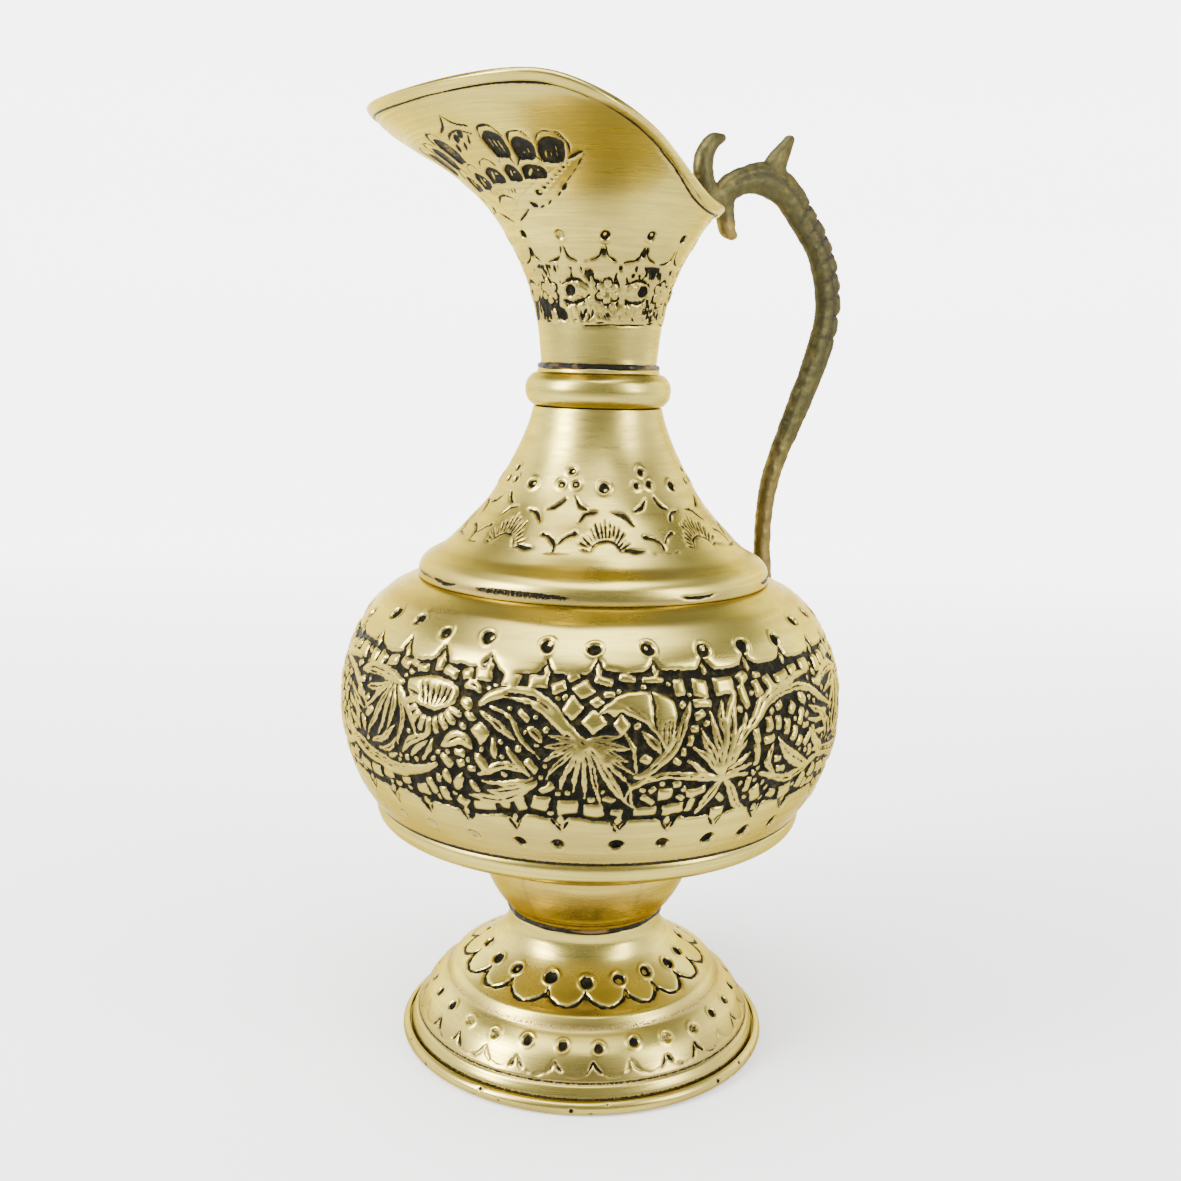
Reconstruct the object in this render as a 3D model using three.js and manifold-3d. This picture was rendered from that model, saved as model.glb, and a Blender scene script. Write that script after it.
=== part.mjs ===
// Brass ewer: an embossed, bulbous jug on a pedestal foot,
// with an obliquely cut trumpet mouth and a cast handle.
// Millimetres, +Z up. The origin is the centre of the foot on the surface it stands on.
// The pouring lip points along -X and the handle stands on +X.
import * as THREE from "three";
import { mergeVertices } from "three/addons/utils/BufferGeometryUtils.js";
import Module from "manifold-3d";

// Sheet brass and the clearances between pieces that slide into each other.
const SHEET = 0.9;
const GAP = 0.3;
const SEGMENTS = 32;

// Foot: base plate with its crimped edge, and the two-tier foot shell.
const BASE_RADIUS = 60.5;
const CRIMP_HEIGHT = 4.5;
const CRIMP_MOUTH_RADIUS = 58;
const FOOT_SHELL_BOTTOM = 2.2;
const FOOT_NECK_RADIUS = 25.3;
const FOOT_NECK_TOP = 43;

// Stem between the foot and the bowl.
const STEM_TOP_RADIUS = 36.2;
const STEM_PLUG_DEPTH = 6;

// Lower bowl, which the body is set into.
const BOWL_FLOOR = 65.4;
const BOWL_FLOOR_RADIUS = 39;
const BODY_SEAM_HEIGHT = 82.4;
const BODY_SEAM_RADIUS = 68.9;

// Belly and shoulder.
const BELLY_RADIUS = 80.8;
const BELLY_HEIGHT = 114.6;
const VALLEY_RADIUS = 57.4;
const VALLEY_HEIGHT = 154.6;
const COLLAR_TOP = 158.2;
const SHOULDER_RADIUS = 55.9;
const SHOULDER_HEIGHT = 156.6;

// Narrow neck: the tube of the cone runs up through the bead, and the mouth plugs into it.
const CONE_TOP_HEIGHT = 207.6;
const CONE_TOP_RADIUS = 20.5;
const TUBE_RADIUS = 17.6;
const TUBE_TOP = 220;
const BEAD_RADIUS = 23;
const BEAD_HEIGHT = 213.6;

// Solder fillets left proud in the two visible seams.
const SOLDER_WIDTH = 1;

// Mouth: a trumpet of revolution, cut high over the pouring lip and low at the handle.
const MOUTH_BOTTOM = 221.3;
const MOUTH_PLUG_DEPTH = 8;
const RIM_LOW = 269.8;
const RIM_RISE = 27;
const LIP_DROOP = 2.2;
const HEM_WIDTH = 2.4;
const WALL_STEPS = 9;

// Cast handle, in the XZ plane.
const HANDLE_GRIP_THICKNESS = 6.6;
const HANDLE_END_THICKNESS = 5.6;
const BELLY_CLEARANCE = 1.0045;

const wasm = await Module();
wasm.setup();

const v2 = (radius, height) => new THREE.Vector2(radius, height);

// Turns a three.js geometry, whose axis of revolution is +Y, so that the axis is +Z.
function upright(geometry) {
  return geometry.rotateX(Math.PI / 2);
}

// A closed ring of revolution from an outline of [radius, height] points, listed in either direction.
function ring(outline) {
  const area = outline.reduce((sum, [r, z], i) => {
    const [nextR, nextZ] = outline[(i + 1) % outline.length];
    return sum + r * nextZ - nextR * z;
  }, 0);
  const ordered = area > 0 ? outline : [...outline].reverse();
  const touchesAxis = ordered.filter(([r]) => r === 0).length > 0;
  const points = ordered.map(([r, z]) => v2(r, z));
  if (touchesAxis) {
    while (points[0].x !== 0 || points[points.length - 1].x !== 0) points.push(points.shift());
  } else {
    points.push(points[0].clone());
  }
  return upright(new THREE.LatheGeometry(points, SEGMENTS));
}

// Points [radius, height] along a smooth curve through the given ones.
function smooth(points, steps) {
  const curve = new THREE.SplineCurve(points.map(([r, z]) => v2(r, z)));
  return curve.getPoints(steps).map((p) => [p.x, p.y]);
}

// The outline of a sheet of even thickness: its outer line, and the same line moved inwards.
function sheetOutline(outer) {
  const inner = outer.map((point, i) => {
    const before = outer[Math.max(i - 1, 0)];
    const after = outer[Math.min(i + 1, outer.length - 1)];
    const along = v2(after[0] - before[0], after[1] - before[1]).normalize();
    return [Math.max(point[0] - along.y * SHEET, 0), point[1] + along.x * SHEET];
  });
  return [...outer, ...inner.reverse()];
}

function toSolid(geometry) {
  const bare = geometry.clone();
  bare.deleteAttribute("normal");
  bare.deleteAttribute("uv");
  const merged = mergeVertices(bare, 1e-3);
  return new wasm.Manifold(
    new wasm.Mesh({
      numProp: 3,
      vertProperties: merged.attributes.position.array,
      triVerts: new Uint32Array(merged.index.array),
    }),
  );
}

function fromSolid(solid) {
  const mesh = solid.getMesh();
  return new THREE.BufferGeometry()
    .setAttribute("position", new THREE.BufferAttribute(new Float32Array(mesh.vertProperties), 3))
    .setIndex(new THREE.BufferAttribute(new Uint32Array(mesh.triVerts), 1));
}

// ---- Foot and stem ----

// A disc whose edge is rolled up and over the flange of the foot shell.
function basePlate() {
  return ring([
    [0, 0],
    [BASE_RADIUS - 1.3, 0],
    [BASE_RADIUS - 0.3, 0.6],
    [BASE_RADIUS, 2.2],
    [BASE_RADIUS - 0.4, 3.7],
    [BASE_RADIUS - 1.4, CRIMP_HEIGHT],
    [CRIMP_MOUTH_RADIUS, CRIMP_HEIGHT - 0.2],
    [CRIMP_MOUTH_RADIUS, CRIMP_HEIGHT - SHEET - 0.2],
    [BASE_RADIUS - 1.5, CRIMP_HEIGHT - SHEET],
    [BASE_RADIUS - SHEET, 2.2],
    [BASE_RADIUS - 1.3, SHEET],
    [0, SHEET],
  ]);
}

// The foot in one sheet: a flange held in the crimp, two tiers, and a short neck for the stem.
function footShell() {
  const wallRadius = CRIMP_MOUTH_RADIUS - GAP - 0.1;
  const flangeRadius = CRIMP_MOUTH_RADIUS + 1;
  const flangeBottom = SHEET + GAP + 0.1;
  const lowerTier = smooth([[56.4, 8.2], [52.7, 13.1], [48.2, 18.3], [44.4, 21.7], [42.6, 22.6]], 5);
  const upperTier = smooth([[41.6, 24.2], [34.5, 28.8], [30.2, 32.2], [27.2, 35.6], [25.5, 39.2]], 5);
  const wall = sheetOutline([
    [wallRadius, FOOT_SHELL_BOTTOM],
    [wallRadius, CRIMP_HEIGHT + 1],
    ...lowerTier,
    ...upperTier,
    [FOOT_NECK_RADIUS, FOOT_NECK_TOP],
  ]);
  return ring([
    [flangeRadius, FOOT_SHELL_BOTTOM],
    ...wall,
    [wallRadius - SHEET, flangeBottom],
    [flangeRadius, flangeBottom],
  ]);
}

// The flaring collar under the bowl. Its plug stands inside the neck of the foot,
// and its top edge turns in under the bowl.
function stemCollar() {
  const plug = FOOT_NECK_RADIUS - SHEET - GAP;
  const top = BOWL_FLOOR - GAP;
  return ring([
    [plug, FOOT_NECK_TOP - STEM_PLUG_DEPTH],
    [plug, FOOT_NECK_TOP + 0.7],
    [FOOT_NECK_RADIUS + 0.5, FOOT_NECK_TOP + 0.9],
    [28.4, 47.5],
    [31.3, 52.5],
    [33.8, 58],
    [STEM_TOP_RADIUS, top - 0.6],
    [STEM_TOP_RADIUS - 0.8, top],
    [STEM_TOP_RADIUS - 5, top],
    [STEM_TOP_RADIUS - 5, top - SHEET],
    [STEM_TOP_RADIUS - 1.9, top - SHEET - 0.3],
    [32.9, 58.3],
    [30.4, 52.9],
    [27.4, 48],
    [FOOT_NECK_RADIUS - 0.6, FOOT_NECK_TOP + 1.8],
    [plug - SHEET, FOOT_NECK_TOP + 0.9],
    [plug - SHEET, FOOT_NECK_TOP - STEM_PLUG_DEPTH],
  ]);
}

// ---- Vessel ----

// A shallow dish with a flat floor, closing the vessel from below.
function lowerBowl() {
  const side = smooth(
    [
      [BOWL_FLOOR_RADIUS, BOWL_FLOOR],
      [44.5, 66.9],
      [50.5, 69.4],
      [56, 72],
      [61, 74.2],
      [64.4, 75.6],
      [67, 77],
      [68.6, 79],
      [BODY_SEAM_RADIUS, BODY_SEAM_HEIGHT],
    ],
    5,
  );
  return ring(sheetOutline([[0, BOWL_FLOOR], [BOWL_FLOOR_RADIUS - 4, BOWL_FLOOR], ...side]));
}

// The belly, with a tail that drops inside the lip of the bowl
// and a collar that stands inside the shoulder.
function bodyShell() {
  const tail = BODY_SEAM_RADIUS - SHEET - GAP - 0.5;
  const belly = smooth(
    [
      [BODY_SEAM_RADIUS + 0.2, BODY_SEAM_HEIGHT + 0.95],
      [73.9, 90.5],
      [78.3, 101],
      [BELLY_RADIUS, BELLY_HEIGHT],
      [79.8, 125.5],
      [75.2, 138.7],
      [70.5, 145.6],
      [64.2, 150.8],
      [VALLEY_RADIUS + 0.9, VALLEY_HEIGHT - 0.4],
    ],
    12,
  );
  const collar = SHOULDER_RADIUS - SHEET - GAP - 1.2;
  return ring([
    [tail - 2.4, BODY_SEAM_HEIGHT - 3],
    [tail, BODY_SEAM_HEIGHT],
    [tail, BODY_SEAM_HEIGHT + 0.88],
    ...sheetOutline([
      ...belly,
      [collar + 1.6, VALLEY_HEIGHT + 0.7],
      [collar, VALLEY_HEIGHT + 1.4],
      [collar, COLLAR_TOP],
    ]),
    [tail - SHEET, BODY_SEAM_HEIGHT + 0.4],
    [tail - 2.4 - SHEET, BODY_SEAM_HEIGHT - 2.6],
  ]);
}

// The neck cone: a rounded shoulder edge, the sweeping cone, and the narrow tube at its top.
function neckCone() {
  const sweep = smooth(
    [
      [SHOULDER_RADIUS, SHOULDER_HEIGHT],
      [54.9, 159.5],
      [51.4, 162.2],
      [46.2, 166.2],
      [41.3, 171.4],
      [35, 178.2],
      [28.5, 188.6],
      [23.4, 198.9],
      [CONE_TOP_RADIUS, CONE_TOP_HEIGHT],
    ],
    11,
  );
  const tube = [
    [TUBE_RADIUS + 0.3, CONE_TOP_HEIGHT + 0.3],
    [TUBE_RADIUS, CONE_TOP_HEIGHT + 1.2],
    [TUBE_RADIUS, TUBE_TOP],
  ];
  return ring(sheetOutline([...sweep, ...tube]));
}

// A hollow half-round ring slid over the tube of the neck.
function neckBead() {
  const bore = TUBE_RADIUS + GAP;
  const bottom = CONE_TOP_HEIGHT + 0.7;
  const top = TUBE_TOP + 0.4;
  const bulge = smooth(
    [
      [bore + 1.2, bottom],
      [BEAD_RADIUS - 1.1, bottom + 2],
      [BEAD_RADIUS, BEAD_HEIGHT],
      [BEAD_RADIUS - 1.2, top - 2.5],
      [bore + 1.2, top],
    ],
    6,
  );
  const wall = sheetOutline(bulge);
  const innerWall = wall.splice(bulge.length);
  const lowerEdge = [bore, bottom];
  const upperEdge = [bore, top];
  return ring([lowerEdge, ...wall, upperEdge, [bore, top - SHEET], ...innerWall, [bore, bottom + SHEET]]);
}

// A thin fillet of solder around a seam; corner is its inner lower [radius, height].
function solderFillet([radius, height]) {
  return ring([
    [radius, height],
    [radius + SOLDER_WIDTH, height],
    [radius + SOLDER_WIDTH * 0.8, height + SOLDER_WIDTH * 0.8],
    [radius, height + SOLDER_WIDTH],
  ]);
}

// ---- Mouth ----

// Radius of the trumpet at a height, as a cubic through a few stations.
const TRUMPET = [
  [MOUTH_BOTTOM, 18.1],
  [233.3, 19.5],
  [243.6, 21.8],
  [253.9, 26.1],
  [264.2, 32.3],
  [272.8, 39.9],
  [279.7, 49],
  [284.9, 58.2],
  [290, 66.3],
  [296.5, 72.2],
];

function trumpetSlope(i) {
  const low = TRUMPET[Math.max(i - 1, 0)];
  const high = TRUMPET[Math.min(i + 1, TRUMPET.length - 1)];
  return (high[1] - low[1]) / (high[0] - low[0]);
}

function trumpetRadius(height) {
  const above = TRUMPET.findIndex(([z]) => z > height);
  const i = above < 0 ? TRUMPET.length - 2 : Math.max(above - 1, 0);
  const [z0, r0] = TRUMPET[i];
  const [z1, r1] = TRUMPET[i + 1];
  const span = z1 - z0;
  const t = (height - z0) / span;
  const s = 1 - t;
  return (
    r0 * s * s * (1 + 2 * t) +
    r1 * t * t * (3 - 2 * t) +
    span * t * s * (s * trumpetSlope(i) - t * trumpetSlope(i + 1))
  );
}

// Height of the rim at an angle from the pouring lip:
// a high round lip that falls steeply to a level back.
function rimHeight(angle) {
  const towardsLip = Math.max((Math.cos(angle) + 0.64) / 1.35, 0);
  const levelled = towardsLip / Math.pow(1 + Math.pow(towardsLip, 12), 1 / 12);
  const droop = LIP_DROOP * Math.pow(Math.max(Math.cos(angle), 0), 8);
  return RIM_LOW + RIM_RISE * Math.pow(levelled, 1.8) - droop;
}

// A ring whose outline changes with the angle from the pouring lip.
// outlineAt gives its [radius, height] points at an angle.
function ringByAngle(outlineAt) {
  const count = outlineAt(0).length;
  const stand = [...outlineAt(0), outlineAt(0)[0]].map(([r, z]) => v2(r, z));
  const geometry = new THREE.LatheGeometry(stand, SEGMENTS);
  const position = geometry.attributes.position;
  for (let i = 0; i <= SEGMENTS; i++) {
    const turn = (i % SEGMENTS) * ((2 * Math.PI) / SEGMENTS);
    const outline = outlineAt(turn);
    for (let j = 0; j <= count; j++) {
      const [r, z] = outline[j % count];
      position.setXYZ(i * (count + 1) + j, -r * Math.cos(turn), z, r * Math.sin(turn));
    }
  }
  return upright(geometry);
}

// A point of the trumpet wall: at a height, moved out square to the wall and along it.
function trumpetPoint(height, out, along = 0) {
  const step = 0.5;
  const slope = (trumpetRadius(height + step) - trumpetRadius(height - step)) / (2 * step);
  const length = Math.hypot(1, slope);
  return [
    trumpetRadius(height) + (out + along * slope) / length,
    height + (along - out * slope) / length,
  ];
}

// Heights from the bottom of the trumpet to its rim, with the lower edge of the hem as the last but one.
function wallHeights(angle) {
  const top = rimHeight(angle);
  const hemEdge = trumpetPoint(top, 0, -HEM_WIDTH)[1];
  const rows = Array.from({ length: WALL_STEPS }, (_, i) => i / (WALL_STEPS - 1));
  return [...rows.map((t) => MOUTH_BOTTOM + (hemEdge - MOUTH_BOTTOM) * t), top];
}

// The embossed trumpet, with a plug that stands inside the tube of the neck.
function mouthSpout() {
  const plug = TUBE_RADIUS - SHEET - GAP;
  const bottom = TUBE_TOP - MOUTH_PLUG_DEPTH;
  return ringByAngle((angle) => {
    const heights = wallHeights(angle);
    const outer = heights.map((height) => trumpetPoint(height, 0));
    const inner = heights.map((height) => trumpetPoint(height, -SHEET)).reverse();
    return [
      [plug, bottom],
      [plug, TUBE_TOP + 0.6],
      ...outer,
      ...inner.slice(0, -1),
      [plug - SHEET, TUBE_TOP + 1.5],
      [plug - SHEET, bottom],
    ];
  });
}

// The section of the strip folded over the cut edge of the trumpet, made fatter by a margin.
function hemOutline(angle, margin) {
  const [hemEdge, top] = wallHeights(angle).slice(-2);
  const outside = GAP + SHEET + margin;
  const inside = -SHEET - GAP - SHEET - margin;
  return [
    trumpetPoint(hemEdge, outside, -margin),
    trumpetPoint(top, outside, GAP),
    trumpetPoint(top, GAP, GAP + SHEET + margin),
    trumpetPoint(top, -SHEET - GAP, GAP + SHEET + margin),
    trumpetPoint(top, inside, GAP),
    trumpetPoint(hemEdge, inside, -margin),
  ];
}

function mouthRimBand() {
  return ringByAngle((angle) => {
    const [hemEdge, top] = wallHeights(angle).slice(-2);
    return [
      ...hemOutline(angle, 0),
      trumpetPoint(hemEdge, -SHEET - GAP),
      trumpetPoint(top, -SHEET - GAP, GAP),
      trumpetPoint(top, GAP, GAP),
      trumpetPoint(hemEdge, GAP),
    ];
  });
}

// ---- Handle ----

// A tapering bar along a smooth line in the XZ plane. Stations are [x, z, width in the plane, thickness].
function bar(stations, steps, sides) {
  const line = new THREE.CatmullRomCurve3(stations.map(([x, z]) => new THREE.Vector3(x, 0, z)));
  const sizes = new THREE.CatmullRomCurve3(stations.map(([, , w, t]) => new THREE.Vector3(w, t, 0)));
  const geometry = new THREE.CylinderGeometry(1, 1, 1, sides, steps);
  const position = geometry.attributes.position;
  for (let i = 0; i < position.count; i++) {
    const t = position.getY(i) + 0.5;
    const centre = line.getPoint(t);
    const along = line.getTangent(t);
    const size = sizes.getPoint(t);
    const across = (position.getX(i) * size.x) / 2;
    const side = (position.getZ(i) * size.y) / 2;
    position.setXYZ(i, centre.x - along.z * across, side, centre.z + along.x * across);
  }
  return toSolid(geometry);
}

// Cast in one piece: the long curved grip, a spike at its top bend, and two horns that straddle the rim.
function handle() {
  const grip = bar(
    [
      [42, 273.5, 8, 6],
      [49, 279.5, 10, HANDLE_GRIP_THICKNESS],
      [60, 283.6, 10.5, HANDLE_GRIP_THICKNESS],
      [72, 280.3, 11.5, HANDLE_GRIP_THICKNESS],
      [82, 271.5, 10.5, HANDLE_GRIP_THICKNESS],
      [90.5, 259.5, 10.3, HANDLE_GRIP_THICKNESS],
      [94.8, 245, 10.3, HANDLE_GRIP_THICKNESS],
      [92.3, 229, 9.8, HANDLE_GRIP_THICKNESS],
      [84.5, 210, 8.6, HANDLE_GRIP_THICKNESS],
      [76, 192.5, 7.2, 6],
      [71, 175, 6.2, HANDLE_END_THICKNESS],
      [70, 158, 6.2, HANDLE_END_THICKNESS],
      [70.8, 147, 7, HANDLE_END_THICKNESS + 0.8],
      [70, 142, 6, HANDLE_END_THICKNESS],
    ],
    36,
    10,
  );
  const upperHorn = bar(
    [[43, 275, 7, 5], [38.4, 281, 7.4, 6], [38, 288, 7, 6], [41.5, 293.3, 5.6, 5.4], [46.4, 294.6, 2.4, 3]],
    8,
    8,
  );
  const lowerHorn = bar(
    [[48, 277, 6, 5], [47.6, 271, 6.4, 5.6], [48.8, 266.5, 6.2, 5.4], [52.2, 263.6, 2.6, 3]],
    6,
    8,
  );
  const spike = bar(
    [[68, 281, 12, 5.6], [71, 289, 6.4, 5], [74, 295, 4.2, 4], [75.4, 298.6, 2.2, 2.6]],
    6,
    8,
  );
  const rimClearance = toSolid(ringByAngle((angle) => hemOutline(angle, GAP)));
  const slot = toSolid(
    ringByAngle((angle) => {
      const heights = wallHeights(angle);
      const outer = heights.map((height) => trumpetPoint(height, GAP));
      const inner = heights.map((height) => trumpetPoint(height, -SHEET - GAP)).reverse();
      return [...outer, ...inner];
    }),
  );
  const bodyClearance = toSolid(bodyShell().scale(BELLY_CLEARANCE, BELLY_CLEARANCE, 1));
  const vesselSpace = toSolid(ring([[0, 140], [69, 140], [66, 148.5], [60, 152], [0, 152]]));
  const whole = grip.add(upperHorn).add(lowerHorn).add(spike);
  const cut = whole.subtract(rimClearance).subtract(slot).subtract(bodyClearance).subtract(vesselSpace);
  const biggest = cut.decompose().sort((a, b) => b.volume() - a.volume())[0];
  return fromSolid(biggest);
}

// ---- Assembly ----

const sheetBrass = () => new THREE.MeshStandardMaterial({ color: 0xcdbb84, roughness: 0.35, metalness: 1 });
const castBrass = () => new THREE.MeshStandardMaterial({ color: 0x8a7a58, roughness: 0.5, metalness: 1 });
const solder = () => new THREE.MeshStandardMaterial({ color: 0x3a3630, roughness: 0.7, metalness: 0.8 });

function named(name, geometry, material) {
  const mesh = new THREE.Mesh(geometry, material);
  mesh.name = name;
  return mesh;
}

const ewer = new THREE.Group();
ewer.add(
  named("base_plate", basePlate(), sheetBrass()),
  named("foot_shell", footShell(), sheetBrass()),
  named("stem_collar", stemCollar(), sheetBrass()),
  named("stem_solder", solderFillet([FOOT_NECK_RADIUS + GAP, FOOT_NECK_TOP - 0.6]), solder()),
  named("lower_bowl", lowerBowl(), sheetBrass()),
  named("body_shell", bodyShell(), sheetBrass()),
  named("neck_cone", neckCone(), sheetBrass()),
  named("neck_bead", neckBead(), sheetBrass()),
  named("neck_solder", solderFillet([TRUMPET[0][1] + GAP, TUBE_TOP + 0.4 + GAP]), solder()),
  named("mouth_spout", mouthSpout(), sheetBrass()),
  named("mouth_rim_band", mouthRimBand(), sheetBrass()),
  named("handle", handle(), castBrass()),
);

export default ewer;
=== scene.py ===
"""Visual model of the brass ewer: embossed, brushed and darkened brass sheet with a cast handle."""

import math

import bpy
import numpy as np
from mathutils import Matrix, Vector, noise


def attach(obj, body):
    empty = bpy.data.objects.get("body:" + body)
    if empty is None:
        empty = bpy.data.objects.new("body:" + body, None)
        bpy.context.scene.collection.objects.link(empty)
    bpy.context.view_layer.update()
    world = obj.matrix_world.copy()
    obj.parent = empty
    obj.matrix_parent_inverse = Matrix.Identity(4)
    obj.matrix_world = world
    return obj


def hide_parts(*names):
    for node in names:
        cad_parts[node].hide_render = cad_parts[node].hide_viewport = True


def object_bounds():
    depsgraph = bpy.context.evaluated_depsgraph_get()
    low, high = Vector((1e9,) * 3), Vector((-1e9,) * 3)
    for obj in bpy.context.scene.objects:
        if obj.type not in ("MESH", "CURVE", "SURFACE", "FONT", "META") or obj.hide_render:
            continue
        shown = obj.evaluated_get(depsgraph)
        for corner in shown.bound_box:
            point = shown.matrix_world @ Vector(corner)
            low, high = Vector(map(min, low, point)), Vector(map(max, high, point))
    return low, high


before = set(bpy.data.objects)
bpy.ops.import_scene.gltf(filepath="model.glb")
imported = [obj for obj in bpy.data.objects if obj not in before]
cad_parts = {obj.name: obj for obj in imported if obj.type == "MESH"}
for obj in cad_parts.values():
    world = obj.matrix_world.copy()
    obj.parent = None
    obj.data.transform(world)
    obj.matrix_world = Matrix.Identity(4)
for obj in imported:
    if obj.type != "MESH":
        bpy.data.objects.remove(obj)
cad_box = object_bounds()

MM = 0.001
FRONT = math.radians(-123)  # azimuth of the side that faces the camera; turns are measured from it
SHEET = 0.9  # thickness of the brass sheet, mm
INSIDE_PATINA, EDGE_PATINA = 0.35, 0.15  # dullness of a sheet's inner face and of its top edge

# ---------------------------------------------------------------- curves


def hermite(u, h, start, end, slope_in, slope_out):
    """A cubic from start to end over a span h, with the slopes given at its ends."""
    return ((2 * u**3 - 3 * u**2 + 1) * start + (u**3 - 2 * u**2 + u) * h * slope_in
            + (-2 * u**3 + 3 * u**2) * end + (u**3 - u**2) * h * slope_out)


def smooth_curve(points, per=16):
    """Dense points on a smooth curve through the given ones, of any dimension."""
    p = np.asarray(points, float)
    if len(p) == 2:
        return p[0] + (p[1] - p[0]) * np.linspace(0, 1, per + 1)[:, None]
    t = np.concatenate([[0], np.cumsum(np.linalg.norm(np.diff(p, axis=0), axis=1) + 1e-9)])
    slope = np.gradient(p, t, axis=0)
    out = []
    for i in range(len(p) - 1):
        h = t[i + 1] - t[i]
        u = np.linspace(0, 1, per, endpoint=False)[:, None]
        out.append(hermite(u, h, p[i], p[i + 1], slope[i], slope[i + 1]))
    out.append(p[-1:])
    return np.concatenate(out)


def lengths(points):
    """Distance along a line of points, at each of them."""
    return np.concatenate([[0], np.cumsum(np.linalg.norm(np.diff(points, axis=0), axis=1))])


def joined(*runs):
    """One profile from several smooth runs, with a corner between each two."""
    parts = [smooth_curve(run) for run in runs]
    return np.concatenate([parts[0]] + [p[1:] for p in parts[1:]])


def spaced(curve, coarse, fine=None, zone=(0, 0)):
    """Points of the curve at a coarse spacing, and at a fine one where z lies in the zone."""
    s = lengths(curve)
    marks = [0.0]
    while marks[-1] < s[-1]:
        z = np.interp(marks[-1], s, curve[:, -1])
        step = fine if fine and zone[0] <= z <= zone[1] else coarse
        marks.append(marks[-1] + step)
    marks = np.array(marks) * s[-1] / marks[-1]
    return np.stack([np.interp(marks, s, curve[:, k]) for k in range(curve.shape[1])], 1)


def directions(line):
    """Unit directions of travel along a line of points."""
    d = np.gradient(line, axis=0)
    return d / np.linalg.norm(d, axis=1)[:, None]


def side_normals(rows):
    """Unit normals of a profile of (r, z) rows, to the right of its direction of travel."""
    d = directions(rows)
    return np.stack([d[:, 1], -d[:, 0]], 1)


def azimuths(columns):
    """Angles round the axis, one for each column."""
    return np.arange(columns) * 2 * math.pi / columns


def surface(rows, columns):
    """Radius and height arrays of a turned profile."""
    return np.repeat(rows[:, :1], columns, 1), np.repeat(rows[:, 1:], columns, 1)


def lift(r, z, azimuth):
    """Points x, y, z from radius and height arrays of rows x columns."""
    return np.stack([r * np.cos(azimuth), r * np.sin(azimuth), z], -1)


# ---------------------------------------------------------------- meshes


def make_object(name, verts, quads, patina=None, tris=()):
    """A smooth mesh object from arrays in mm, its faces turned outwards."""
    verts = np.asarray(verts, float).reshape(-1, 3)
    faces = [np.asarray(quads).reshape(-1, 4)]
    if len(tris):
        faces.append(np.asarray(tris).reshape(-1, 3))
    volume = 0.0
    for f in faces:
        a, b, c = verts[f[:, 0]], verts[f[:, 1]], verts[f[:, 2]]
        volume += np.einsum("ij,ij->i", a, np.cross(b, c)).sum()
        if f.shape[1] == 4:
            d = verts[f[:, 3]]
            volume += np.einsum("ij,ij->i", a, np.cross(c, d)).sum()
    if volume < 0:
        faces = [f[:, ::-1] for f in faces]
    loops = np.concatenate([f.ravel() for f in faces])
    sizes = np.concatenate([np.full(len(f), f.shape[1]) for f in faces])
    mesh = bpy.data.meshes.new(name)
    mesh.vertices.add(len(verts))
    mesh.vertices.foreach_set("co", (verts * MM).ravel())
    mesh.loops.add(len(loops))
    mesh.loops.foreach_set("vertex_index", loops.astype(np.int32))
    mesh.polygons.add(len(sizes))
    starts = np.concatenate([[0], np.cumsum(sizes)[:-1]])
    mesh.polygons.foreach_set("loop_start", starts.astype(np.int32))
    mesh.polygons.foreach_set("loop_total", sizes.astype(np.int32))
    mesh.polygons.foreach_set("use_smooth", np.ones(len(sizes), bool))
    mesh.update(calc_edges=True)
    mesh.validate()
    if patina is not None:
        layer = mesh.attributes.new("patina", "FLOAT", "POINT")
        layer.data.foreach_set("value", np.clip(patina, 0, 1).astype(np.float32).ravel())
    obj = bpy.data.objects.new(name, mesh)
    bpy.context.scene.collection.objects.link(obj)
    return obj


def grid_faces(rows, columns, start=0):
    """Indices and quads of a grid that closes up both ways."""
    index = np.arange(rows * columns).reshape(rows, columns) + start
    right = np.roll(index, -1, axis=1)
    quads = np.stack([index, right, np.roll(right, -1, axis=0), np.roll(index, -1, axis=0)], -1)
    return index, right, quads


def end_fans(index, right, first, last):
    """Triangles from the first and last rows of a grid to the points in the middle of them."""
    low = np.stack([right[0], index[0], np.full(index.shape[1], first)], 1)
    high = np.stack([index[-1], right[-1], np.full(index.shape[1], last)], 1)
    return np.concatenate([low, high])


def ring_mesh(name, grid, patina=None):
    """A closed ring from a grid of rows x columns x 3: rows and columns both close up."""
    return make_object(name, grid, grid_faces(*grid.shape[:2])[2], patina)


def disc_mesh(name, grid, patina):
    """A closed body from rows of rings whose first and last rows shrink to a pole."""
    rows, columns = grid.shape[:2]
    index, right, quads = grid_faces(rows, columns)
    verts = np.concatenate([grid.reshape(-1, 3), [grid[0].mean(0), grid[-1].mean(0)]])
    patina = np.concatenate([patina.ravel(), [patina.ravel()[0], patina.ravel()[-1]]])
    fans = end_fans(index, right, rows * columns, rows * columns + 1)
    return make_object(name, verts, quads[:-1], patina, fans)


def ripple(rows, columns, seed, size_rows, size_columns):
    """Smooth noise of unit spread that closes up round the columns. Sizes are in cells."""
    rng = np.random.default_rng(seed)
    raw = np.fft.rfft2(rng.standard_normal((rows * 2, columns)))
    fy = np.fft.fftfreq(rows * 2)[:, None] * size_rows
    fx = np.fft.rfftfreq(columns)[None, :] * size_columns
    soft = np.exp(-2 * math.pi * (fy**2 + fx**2))
    field = np.fft.irfft2(raw * soft, s=(rows * 2, columns))[:rows]
    return (field - field.mean()) / field.std()


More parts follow.
